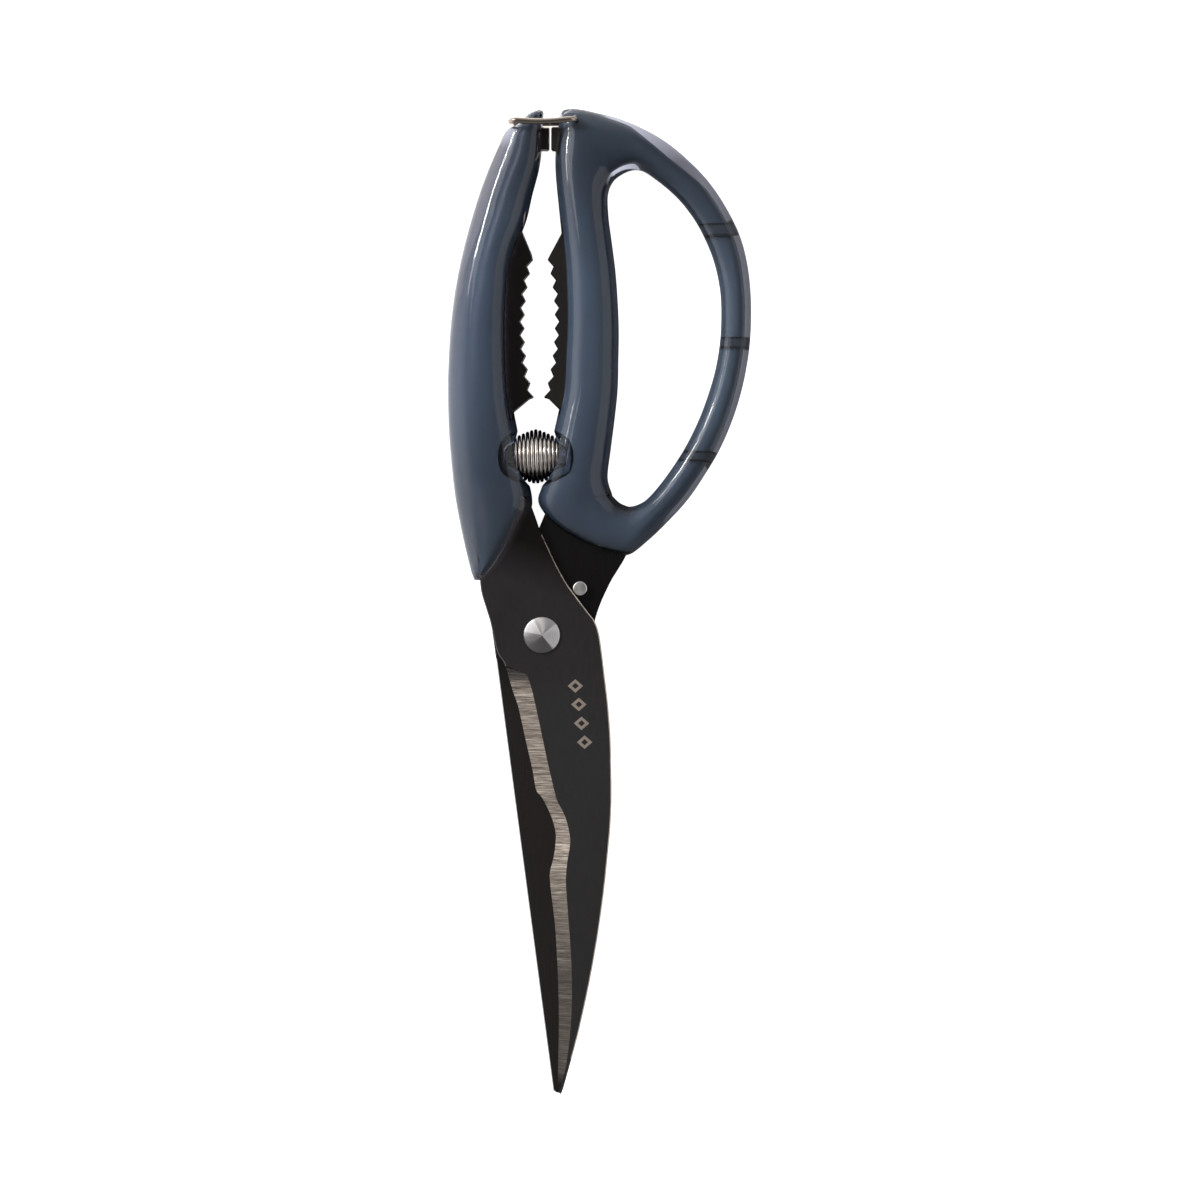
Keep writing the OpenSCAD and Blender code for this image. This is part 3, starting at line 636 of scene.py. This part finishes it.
def clear_shell(name):
    """Clear, slightly lavender over-moulding. Shadow rays pass straight on."""
    m, nt, p, out = material(name)
    w = noise(nt, coords(nt, (45, 20, 45)), 1.0, 2, 0.5)
    p.inputs["Base Color"].default_value = (0.95, 0.95, 0.98, 1)
    p.inputs["Transmission Weight"].default_value = 1.0
    p.inputs["IOR"].default_value = 1.49
    nt.links.new(to_range(nt, w, 0.3, 0.7, 0.02, 0.05), p.inputs["Roughness"])
    bump(nt, p, w, 0.00001, 0.08)
    path = nt.nodes.new("ShaderNodeLightPath")
    tr = nt.nodes.new("ShaderNodeBsdfTransparent")
    tr.inputs["Color"].default_value = (0.88, 0.9, 0.97, 1)
    mx = nt.nodes.new("ShaderNodeMixShader")
    nt.links.new(path.outputs["Is Shadow Ray"], mx.inputs[0])
    nt.links.new(p.outputs[0], mx.inputs[1])
    nt.links.new(tr.outputs[0], mx.inputs[2])
    nt.links.new(mx.outputs[0], out.inputs["Surface"])
    v = nt.nodes.new("ShaderNodeVolumeAbsorption")
    v.inputs["Color"].default_value = (0.56, 0.575, 0.68, 1)
    v.inputs["Density"].default_value = 150.0
    nt.links.new(v.outputs[0], out.inputs["Volume"])
    return m


def put(ob, *mats):
    n = len(ob.data.polygons)
    kept = np.zeros(n, np.int32)
    ob.data.polygons.foreach_get("material_index", kept)
    ob.data.materials.clear()
    for m in mats:
        ob.data.materials.append(m)
    ob.data.polygons.foreach_set("material_index", np.clip(kept, 0, len(mats) - 1))
    ob.data.update()


# ------------------------------------------------------------- blade plates
def offset_in(P, d):
    """Points of a counter-clockwise outline moved inwards by d, mitred."""
    n = len(P)
    A, B = P - np.roll(P, 1, 0), np.roll(P, -1, 0) - P
    A /= np.linalg.norm(A, axis=1)[:, None]
    B /= np.linalg.norm(B, axis=1)[:, None]
    NA, NB = np.stack([-A[:, 1], A[:, 0]], 1), np.stack([-B[:, 1], B[:, 0]], 1)
    M = NA + NB
    L = np.linalg.norm(M, axis=1)
    M /= np.maximum(L, 1e-9)[:, None]
    c = np.maximum((M * NA).sum(1), 0.45)
    return P + M * (d / c)[:, None]


def blade(name, outline, edge_pts, bevel_pts, side, bend, chamfer, bare):
    """A bent blade plate. The outline without the cutting edge is open and
    counter-clockwise or clockwise; edge_pts closes it. side is +1 for the
    front blade, whose outer face looks to +Z, and -1 for the back one."""
    E, I = smooth(edge_pts, 8), smooth(bevel_pts, 8)
    P = np.concatenate([outline, E])
    T_edge = len(outline)
    # counter-clockwise
    area = 0.5 * np.sum(P[:, 0] * np.roll(P[:, 1], -1) - np.roll(P[:, 0], -1) * P[:, 1])
    is_edge = np.zeros(len(P), bool)
    is_edge[T_edge:] = True
    inner = np.zeros_like(P)
    inner[T_edge:] = I
    if area < 0:
        P, is_edge, inner = P[::-1], is_edge[::-1], inner[::-1]
    off = offset_in(P, chamfer)
    top_xy = np.where(is_edge[:, None], inner, off)
    bot_xy = np.where(is_edge[:, None], P, off)
    # heights run from 0 at the inner (sliding) face to 1 at the outer face
    t = Z1 - Z0
    top_h = np.where(is_edge, 0.3 / t, 1 - chamfer / t)
    bot_h = np.where(is_edge, 0.02 / t, chamfer / t)
    n = len(P)
    verts, faces, mats = [], [], []
    rings = [(bot_xy, np.zeros(n)), (P, bot_h), (P, top_h), (top_xy, np.ones(n))]
    for xy, h in rings:
        for q, hh in zip(xy, h):
            verts.append((q[0], q[1], hh))
    for i in range(n):
        j = (i + 1) % n
        both = is_edge[i] and is_edge[j]
        for k in range(3):
            a, b = k * n, (k + 1) * n
            faces.append((a + i, a + j, b + j, b + i))
            lit = bare((P[i] + P[j]) / 2)
            mats.append(1 if (k == 2 and both) else (2 if lit and k != 1 else 0))
    faces.append(tuple(range(n - 1, -1, -1)))
    mats.append(0)
    faces.append(tuple(3 * n + i for i in range(n)))
    mats.append(0)
    me = bpy.data.meshes.new(name)
    me.from_pydata([tuple(v) for v in verts], [], faces)
    me.polygons.foreach_set("material_index", mats)
    bm = bmesh.new()
    bm.from_mesh(me)
    a, b = bend
    for y in (a, b):
        bmesh.ops.bisect_plane(bm, geom=bm.verts[:] + bm.edges[:] + bm.faces[:],
                               plane_co=(0, y, 0), plane_no=(0, 1, 0), dist=1e-6)
    for v in bm.verts:
        y, h = v.co.y, v.co.z
        s = min(max((y - a) / (b - a), 0), 1)
        lo, hi = (Z0, Z1)
        lo2, hi2 = (-ZT, ZT)
        z = (lo + (hi - lo) * h) * (1 - s) + (lo2 + (hi2 - lo2) * h) * s
        v.co = Vector((v.co.x * MM, v.co.y * MM, (side * z + MID) * MM))
    bmesh.ops.triangulate(bm, faces=[f for f in bm.faces if len(f.verts) > 4])
    bmesh.ops.recalc_face_normals(bm, faces=bm.faces)
    bm.to_mesh(me)
    bm.free()
    ob = bpy.data.objects.new(name, me)
    COLL.objects.link(ob)
    soften(me, 25)
    return ob


def circle_cutter(r, z_lo, z_hi, centre=(0, 0), n=96):
    return lathe("cutter", [(0, z_lo), (r, z_lo), (r, z_hi), (0, z_hi)], centre, n)


M_BLACK = black_coating("black_coating", (0.066, 0.06, 0.059), (0.083, 0.079, 0.082), 0.34, True)
# the back blade's face: the black coating in a darker tint, painted shade on its neck
M_INNER = black_coating("black_coating_inner", (0.022, 0.019, 0.019), (0.03, 0.027, 0.026), 0.3, shaded_neck=True)
M_EDGE = bare_edge("bare_edge")
M_BEVEL = ground_bevel("ground_bevel")
M_GREY_EDGE = steel("grey_edge", (0.45, 0.45, 0.46), 0.35)
M_TURNED = steel("turned_steel", (0.92, 0.88, 0.88), 0.4, 0.9, 20000.0)
M_PIN = steel("pin_steel", (0.9, 0.86, 0.85), 0.34)
M_SPRING = steel("spring_steel", (0.8, 0.74, 0.68), 0.13, streak=(900, 900, 900), dark_flanks_painted=True)
M_BAIL = steel("bail_steel", (0.41, 0.345, 0.29), 0.13, streak=(300, 900, 900))
M_WASHER = steel("washer_steel", (0.45, 0.43, 0.4), 0.35)
M_SLATE = slate("slate_core", (0.105, 0.144, 0.184), True)
M_DARK = slate("dark_locator", (0.058, 0.072, 0.088), rims=(45.0, 47.8, 74.4, 77.4, 103.5, 106.9))
M_CLEAR = clear_shell("clear_shell")
M_PTFE = slate("low_friction_washer", (0.75, 0.74, 0.7))

# front blade
fb_open = np.concatenate([FB_RIGHT, FB_LOW, LEFT_TEETH, FB_TOP, FB_LEFT])
front = blade("front_blade_plate", fb_open, CUT_EDGE, BEVEL_IN, 1, (35.4, 39.6), 0.28,
              lambda q: (q[0] > 0 and q[1] > -110) or q[1] > 58)
boolean(front, circle_cutter(3.05, -1, 5), smooth_angle=25)
put(front, M_BLACK, M_BEVEL, M_EDGE)
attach(front, "left_half")
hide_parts("front_blade")

# back blade
bb_open = np.concatenate([[(4, -119.1), (2.9, -118.3)][::-1], BB_LEFT[::-1]])
bb_path = np.concatenate([BB_RIGHT, BB_TOP, RIGHT_TEETH, BB_LOW, BB_LEFT,
                          [(2.9, -118.3), (4, -119.1)]])
back = blade("back_blade_plate", bb_path, BB_EDGE[::-1], BB_BEVEL[::-1], -1,
             (37.4, 41.6), 0.22, lambda q: -114 < q[1] < -6 and q[0] < 6)
boolean(back, circle_cutter(3.05, -5, 1), smooth_angle=25)
put(back, M_INNER, M_BEVEL, M_GREY_EDGE)
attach(back, "right_half")
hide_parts("back_blade")

# stop pin
pin = lathe("stop_pin_turned", [(0, -Z1 - 0.06), (1.66, -Z1 - 0.06), (1.8, -Z1 + 0.02), (1.84, -Z1 + 0.2), (1.84, Z1 - 0.72),
                                (1.78, Z1 - 0.58), (1.62, Z1 - 0.48), (0, Z1 - 0.46)],
            (9.9, 12.1), 64)
put(pin, M_PIN)
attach(pin, "right_half")
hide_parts("stop_pin")

# pivot screw
screw = lathe("pivot_screw_turned",
              [(0, -4.0), (2.6, -4.0), (2.6, -3.3), (2.99, -3.3), (2.99, Z1 + 0.02),
               (4.55, Z1 + 0.02), (4.68, Z1 + 0.1), (4.7, Z1 + 0.25), (4.7, Z1 + 0.55),
               (4.62, Z1 + 0.68), (4.45, Z1 + 0.77), (0.35, Z1 + 1.48),
               (0.12, Z1 + 1.5), (0, Z1 + 1.5)], (0, 0), 128)
put(screw, M_TURNED)
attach(screw, "left_half")
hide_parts("pivot_screw")

# pivot nut with its two spanner holes
nut = lathe("pivot_nut_turned",
            [(0, 0), (5.0, 0), (5.25, 0.06), (5.38, 0.25), (5.4, 0.45), (5.4, 1.3),
             (2.65, 1.3), (2.65, 0.55), (0, 0.55)], (0, 0), 128, mid=0)
for s in (-1, 1):
    c = lathe("cutter", [(0, -0.5), (0.6, -0.5), (0.6, 0.8), (0, 0.8)], (s * 3.8, 0), 40, mid=0)
    boolean(nut, c, smooth_angle=28)
put(nut, M_TURNED)
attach(nut, "left_half")
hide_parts("pivot_nut")

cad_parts["wave_washer"].data.materials.clear()
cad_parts["wave_washer"].data.materials.append(M_WASHER)
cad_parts["blade_washer"].data.materials.clear()
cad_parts["blade_washer"].data.materials.append(M_PTFE)


# ---------------------------------------------------------- spring and bail
SP_X, SP_HALF, SP_Y = -1.6, 8.6, 46.4


def spring_r(x):
    return 7.15 - 3.9 * (abs(x - SP_X) / SP_HALF) ** 1.3


turns, per = 16, 48
path = []
for i in range(turns * per + 1):
    t = i / (turns * per)
    x = SP_X - SP_HALF + 2 * SP_HALF * t
    r = spring_r(x) - 0.45
    a = 2 * math.pi * i / per
    path.append((x, SP_Y + r * math.cos(a), r * math.sin(a)))
spring = tube("return_spring_coil", path, 0.45, 14, 60)
put(spring, M_SPRING)
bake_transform(spring)
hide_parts("return_spring")

PIN_X, PIN_Y, BAR_X, BAR_Y, LEG_Z, BEND = 8.6, 133.6, -8.0, 133.3, 6.6, 1.6


def arc(c, r, a0, a1, ex, ey, n=10):
    return [np.array(c) + r * (math.cos(a) * np.array(ex) + math.sin(a) * np.array(ey))
            for a in np.linspace(a0, a1, n)]


d = np.array([BAR_X - PIN_X, BAR_Y - PIN_Y])
reach = np.linalg.norm(d)
u = np.array([d[0] / reach, d[1] / reach, 0])
zv = np.array([0, 0, 1.0])
p0 = np.array([PIN_X, PIN_Y, 0.0])
half = []
for s in (1, -1):
    pts = [p0 + zv * s * 2.75, p0 + zv * s * (LEG_Z - BEND) * 0.8]
    pts += arc(p0 + u * BEND + zv * s * (LEG_Z - BEND), BEND, math.pi, math.pi / 2,
               u, zv * s)
    k = 14
    for i in range(1, k):
        t = i / k
        q = p0 + u * (BEND + (reach - 2 * BEND) * t) + zv * s * LEG_Z
        rise = -0.4 if s > 0 else 0.1
        q = q + np.array([0, rise * math.sin(math.pi * t), 0])
        pts.append(q)
    pts += arc(p0 + u * (reach - BEND) + zv * s * (LEG_Z - BEND), BEND, math.pi / 2, 0,
               u, zv * s)
    half.append(pts)
bail_path = np.array(half[0] + half[1][::-1])
bail = tube("locking_bail_wire", bail_path, 0.79, 24, 60)
put(bail, M_BAIL)
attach(bail, "bail")
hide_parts("locking_bail")


# -------------------------------------------------------------------- grips
def socket(direction, grow=0.0, z_stretch=1.0):
    P = [(0, 0), (7.7 + grow, 0), (7.6 + grow, 2.6), (6.6 + grow, 5), (5.6 + grow, 7),
         (4.4 + grow, 8.8), (2.4 + grow * 0.6, 9.5 + grow * 0.6), (0, 9.7 + grow)]
    prof = smooth(P[1:], 6)
    n = 72
    verts, faces = [], []
    prof = np.concatenate([[P[0]], prof])
    for i in range(n):
        a = 2 * math.pi * i / n
        for r, x in prof:
            z = r * math.sin(a)
            verts.append((SP_X + direction * x, SP_Y + r * math.cos(a),
                          z * z_stretch if z > 0 else z))
    m = len(prof)
    for i in range(n):
        a, b = i * m, ((i + 1) % n) * m
        for j in range(m - 1):
            faces.append((a + j, b + j, b + j + 1, a + j + 1))
    return to_object("cutter", verts, faces)


def slab(lo, hi, x0=30.0, x1=60.0):
    v = [(x, y, z) for x in (x0, x1) for y in (lo, hi) for z in (-12, 12)]
    f = [(0, 1, 3, 2), (4, 6, 7, 5), (0, 4, 5, 1), (2, 3, 7, 6), (0, 2, 6, 4), (1, 5, 7, 3)]
    return to_object("cutter", v, f)


WALL, CORE_Z = 2.3, 0.38
NL = 6
SL = smooth(LEFT_GRIP, NL)
SR = smooth_ring(RIGHT_GRIP, NL)

left_shell = sweep("left_grip_clear", SL, 2.4, 72)
boolean(left_shell, socket(-1))
put(left_shell, M_CLEAR)
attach(left_shell, "left_half")
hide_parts("left_grip_shell")

def inset2(s, wa, wb, wz):
    d = np.array([s[2] - s[0], s[3] - s[1]])
    e = d / np.linalg.norm(d)
    return np.array([s[0] + e[0] * wa, s[1] + e[1] * wa, s[2] - e[0] * wb,
                     s[3] - e[1] * wb, s[4] - wz])


def core_left():
    out = []
    for s in SL[int(1.5 * NL):len(SL) - int(2.5 * NL)]:
        width = np.hypot(s[2] - s[0], s[3] - s[1])
        low = min(max((34 - s[1]) / 16, 0), 1)
        wa = min(3.0 + 1.2 * min(max((s[1] - 50) / 40, 0), 1), 0.34 * width)
        high = min(max((s[1] - 88) / 20, 0), 1)
        deep = min(max((40 - s[1]) / 14, 0), 1)
        out.append(inset2(s, wa, min(2.9 - 1.0 * low - 0.9 * high, 0.34 * width),
                          CORE_Z * (1 - 0.62 * deep) * s[4]))
    return np.array(out)


def core_right(grow=0.0):
    out = []
    for s in SR:
        width = np.hypot(s[2] - s[0], s[3] - s[1])
        thin = min(max((13 - width) / 4, 0), 1)
        wa = 2.8 * (1 - thin) + 1.6 * thin - grow
        low = min(max((40 - s[3]) / 8, 0), 1)
        wb = (1.75 + 0.35 * low) * (1 - thin) + 2.5 * thin - grow
        wb += (0.3 + 0.7 * min(max((s[2] - 9) / 6, 0), 1)) * min(max((s[3] - 117) / 10, 0), 1)
        out.append(inset2(s, wa, wb, CORE_Z * s[4] - grow * 0.8))
    return np.array(out)


core_l = core_left()
left_core = sweep("left_grip_slate", core_l, 2.3, 64)
boolean(left_core, socket(-1, 0.5, 2.2))
put(left_core, M_SLATE)
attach(left_core, "left_half")
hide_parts("left_grip_core")

right_shell = sweep("right_grip_clear", SR, 2.4, 72, True)
boolean(right_shell, socket(1))
for z_lo, z_hi in ((2.4, 9), (-9, -2.4)):
    boolean(right_shell, circle_cutter(1.1, z_lo, z_hi, (PIN_X, PIN_Y), 48))
put(right_shell, M_CLEAR)
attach(right_shell, "right_half")
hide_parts("right_grip_shell")

core_r = core_right()
band_r = core_right(1.0)
B1, B2, B3 = (45.0, 47.8), (74.4, 77.4), (103.5, 106.9)


def core_part(name, lo=None, hi=None, mat=None, nodes=(), slot="slate_core"):
    ob = sweep(name, core_r if lo is None or slot == "slate_core" else band_r, 2.3, 64, True)
    if lo is None:
        boolean(ob, slab(B1[0], B3[1]))
        boolean(ob, socket(1, 0.5, 2.2))
    else:
        boolean(ob, slab(lo, hi), "INTERSECT")
    put(ob, mat)
    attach(ob, "right_half")
    if nodes:
        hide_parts(*nodes)
    return ob


core_part("right_grip_slate", None, None, M_SLATE, ["right_grip_core"])
core_part("loop_slate_upper", B2[1], B3[0], M_SLATE, ["loop_core_upper"])
core_part("loop_slate_lower", B1[1], B2[0], M_SLATE, ["loop_core_lower"])
for i, b in enumerate((B1, B2, B3)):
    core_part(f"locator_band_{i + 1}", b[0], b[1], M_DARK,
              ["core_locators"], "dark_locator")

# --------------------------------------------------------- stage and lights
lo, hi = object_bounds()
floor_me = bpy.data.meshes.new("floor")
g, zf = 1.6, float(lo[2]) - 0.0001
n = 12
fv = [(x, y, zf) for y in np.linspace(-g, g, n + 1) for x in np.linspace(-g, g, n + 1)]
ff = [(r * (n + 1) + c, r * (n + 1) + c + 1, (r + 1) * (n + 1) + c + 1, (r + 1) * (n + 1) + c)
      for r in range(n) for c in range(n)]
floor_me.from_pydata(fv, [], ff)
floor = bpy.data.objects.new("floor", floor_me)
COLL.objects.link(floor)
fm, fnt, fp, fout = material("pale_floor")
f_path = fnt.nodes.new("ShaderNodeLightPath")
f_card = fnt.nodes.new("ShaderNodeBsdfDiffuse")
f_sep = fnt.nodes.new("ShaderNodeSeparateXYZ")
f_tc = fnt.nodes.new("ShaderNodeTexCoord")
fnt.links.new(f_tc.outputs["Object"], f_sep.inputs[0])
# Rays other than camera rays see a card with painted light and shade: light grey left of x = -26 mm, a
# painted shadow band from -12 to +8 mm under the part, mid grey beyond 30 mm. Camera rays see an even white
# floor.
f_card_light_and_shadow = mix_colour(fnt, to_range(fnt, f_sep.outputs["X"], -0.026, -0.012),
                   (0.8, 0.8, 0.82), (0.06, 0.06, 0.065))
fnt.links.new(mix_colour(fnt, to_range(fnt, f_sep.outputs["X"], 0.008, 0.03), f_card_light_and_shadow,
                         (0.3, 0.3, 0.31)), f_card.inputs["Color"])
# painted light: the card glows to the left, its edge leaning towards +x above y = 85 mm, faintly beyond x =
# 20 mm, and along a strip at the top, brightest on the left
f_glow = fnt.nodes.new("ShaderNodeEmission")
f_lean = math_node(fnt, "SUBTRACT", f_sep.outputs["X"], math_node(
    fnt, "MULTIPLY", math_node(fnt, "MAXIMUM", math_node(
        fnt, "SUBTRACT", f_sep.outputs["Y"], 0.085), 0.0), 0.3))
f_painted_glow = math_node(fnt, "ADD", to_range(fnt, f_lean, -0.012, -0.03, 0.0, 0.95),
                  to_range(fnt, f_sep.outputs["X"], 0.02, 0.04, 0.0, 0.04))
f_painted_glow_top = to_range(fnt, math_node(
    fnt, "ADD", f_sep.outputs["Y"], math_node(fnt, "MULTIPLY", f_sep.outputs["X"], 0.4)),
    0.1225, 0.1315, 0.0, 1.0)
f_painted_glow = math_node(fnt, "ADD", f_painted_glow, math_node(
    fnt, "MULTIPLY", f_painted_glow_top, to_range(fnt, f_sep.outputs["X"], 0.018, 0.034, 1.15, 0.16)))
fnt.links.new(f_painted_glow, f_glow.inputs["Strength"])
f_add = fnt.nodes.new("ShaderNodeAddShader")
fnt.links.new(f_card.outputs[0], f_add.inputs[0])
fnt.links.new(f_glow.outputs[0], f_add.inputs[1])
f_mix = fnt.nodes.new("ShaderNodeMixShader")
fnt.links.new(f_path.outputs["Is Camera Ray"], f_mix.inputs[0])
fnt.links.new(f_add.outputs[0], f_mix.inputs[1])
fnt.links.new(fp.outputs[0], f_mix.inputs[2])
fnt.links.new(f_mix.outputs[0], fout.inputs["Surface"])
fp.inputs["Base Color"].default_value = (0.86, 0.86, 0.87, 1)
fp.inputs["Roughness"].default_value = 0.7
fp.inputs["Emission Color"].default_value = (1, 1, 1, 1)
fp.inputs["Emission Strength"].default_value = 1.0
floor_me.materials.append(fm)

world = bpy.data.worlds.new("studio")
SCENE.world = world
world.use_nodes = True
wn = world.node_tree
wn.nodes.clear()
wo = wn.nodes.new("ShaderNodeOutputWorld")
bg = wn.nodes.new("ShaderNodeBackground")
tc = wn.nodes.new("ShaderNodeTexCoord")
nrm = wn.nodes.new("ShaderNodeVectorMath")
nrm.operation = "NORMALIZE"
wn.links.new(tc.outputs["Generated"], nrm.inputs[0])
sep = wn.nodes.new("ShaderNodeSeparateXYZ")
wn.links.new(nrm.outputs[0], sep.inputs[0])
DX, DY, DZ = sep.outputs["X"], sep.outputs["Y"], sep.outputs["Z"]


def soft(v, lo, hi, a, b, smooth_step=True):
    n = wn.nodes.new("ShaderNodeMapRange")
    n.interpolation_type = "SMOOTHSTEP" if smooth_step else "LINEAR"
    for k, x in (("From Min", lo), ("From Max", hi), ("To Min", a), ("To Max", b)):
        n.inputs[k].default_value = x
    wn.links.new(v, n.inputs["Value"])
    return n.outputs[0]


def lobe(az, el, inner, outer, level):
    n = wn.nodes.new("ShaderNodeVectorMath")
    n.operation = "DOT_PRODUCT"
    az, el = math.radians(az), math.radians(el)
    n.inputs[1].default_value = (math.cos(el) * math.cos(az),
                                 math.cos(el) * math.sin(az), math.sin(el))
    wn.links.new(nrm.outputs[0], n.inputs[0])
    return soft(n.outputs["Value"], math.cos(math.radians(outer)),
                math.cos(math.radians(inner)), 0.0, level)


def panel(az, half, lo, hi, level, edge=1.5):
    """A softbox seen from the part: azimuth and elevations in degrees."""
    ca, sa = math.cos(math.radians(az)), math.sin(math.radians(az))
    fwd = math_node(wn, "ADD", math_node(wn, "MULTIPLY", DX, ca),
                    math_node(wn, "MULTIPLY", DY, sa))
    side = math_node(wn, "ADD", math_node(wn, "MULTIPLY", DX, -sa),
                     math_node(wn, "MULTIPLY", DY, ca))
    az_d = math_node(wn, "MULTIPLY", math_node(wn, "ARCTAN2", side, fwd), 57.29578)
    el_d = math_node(wn, "MULTIPLY", math_node(wn, "ARCSINE", DZ), 57.29578)
    m = soft(math_node(wn, "ABSOLUTE", az_d), half - edge, half + edge, level, 0.0)
    m = math_node(wn, "MULTIPLY", m, soft(el_d, lo - edge, lo + edge, 0.0, 1.0))
    return math_node(wn, "MULTIPLY", m, soft(el_d, hi - edge, hi + edge, 1.0, 0.0))


sky = soft(DZ, 0.0, 0.85, 0.42, 0.16, False)
light = math_node(wn, "ADD", sky, lobe(176, 8, 16, 54, 1.2))
light = math_node(wn, "ADD", light, panel(9, 35, 3, 52, 0.66, 0.8))
light = math_node(wn, "ADD", light, lobe(95, 20, 5, 50, 0.5))
wn.links.new(light, bg.inputs["Strength"])
bg.inputs["Color"].default_value = (0.985, 0.985, 1.0, 1)
wn.links.new(bg.outputs[0], wo.inputs["Surface"])


def area(name, loc, target, sx, sy, power, colour=(1, 1, 1)):
    L = bpy.data.lights.new(name, "AREA")
    L.shape = "RECTANGLE"
    L.size, L.size_y = sx, sy
    L.energy = power
    L.color = colour
    ob = bpy.data.objects.new(name, L)
    COLL.objects.link(ob)
    ob.location = loc
    v = Vector(target) - Vector(loc)
    ob.rotation_euler = v.to_track_quat("-Z", "Y").to_euler()
    return ob


for az, wide, watts in ((149, 0.24, 3.6), (136, 0.2, 1.0), (160, 0.2, 0.55)):
    a = math.radians(az)
    area(f"strip_{az}", (0.9 * math.cos(a), 0.05 + 0.9 * math.sin(a), 0.74),
         (0, 0.07, 0), wide, 0.1, watts, (1, 0.99, 0.98))
area("key_above_left", (-0.7, 0.5, 1.2), (0, 0.02, 0), 0.5, 0.5, 1.5)

cam_data = bpy.data.cameras.new("camera")
cam_data.sensor_width = 36.0
cam_data.lens = 36.0 * 1500.0 / 312.0
cam_data.clip_start = 0.05
cam_data.clip_end = 20
cam = bpy.data.objects.new("camera", cam_data)
COLL.objects.link(cam)
cam.location = (0.0151, 0.0091, MID * MM + 1.5)
cam.rotation_euler = (0, 0, 0)
SCENE.camera = cam
SCENE.view_settings.view_transform = "Standard"
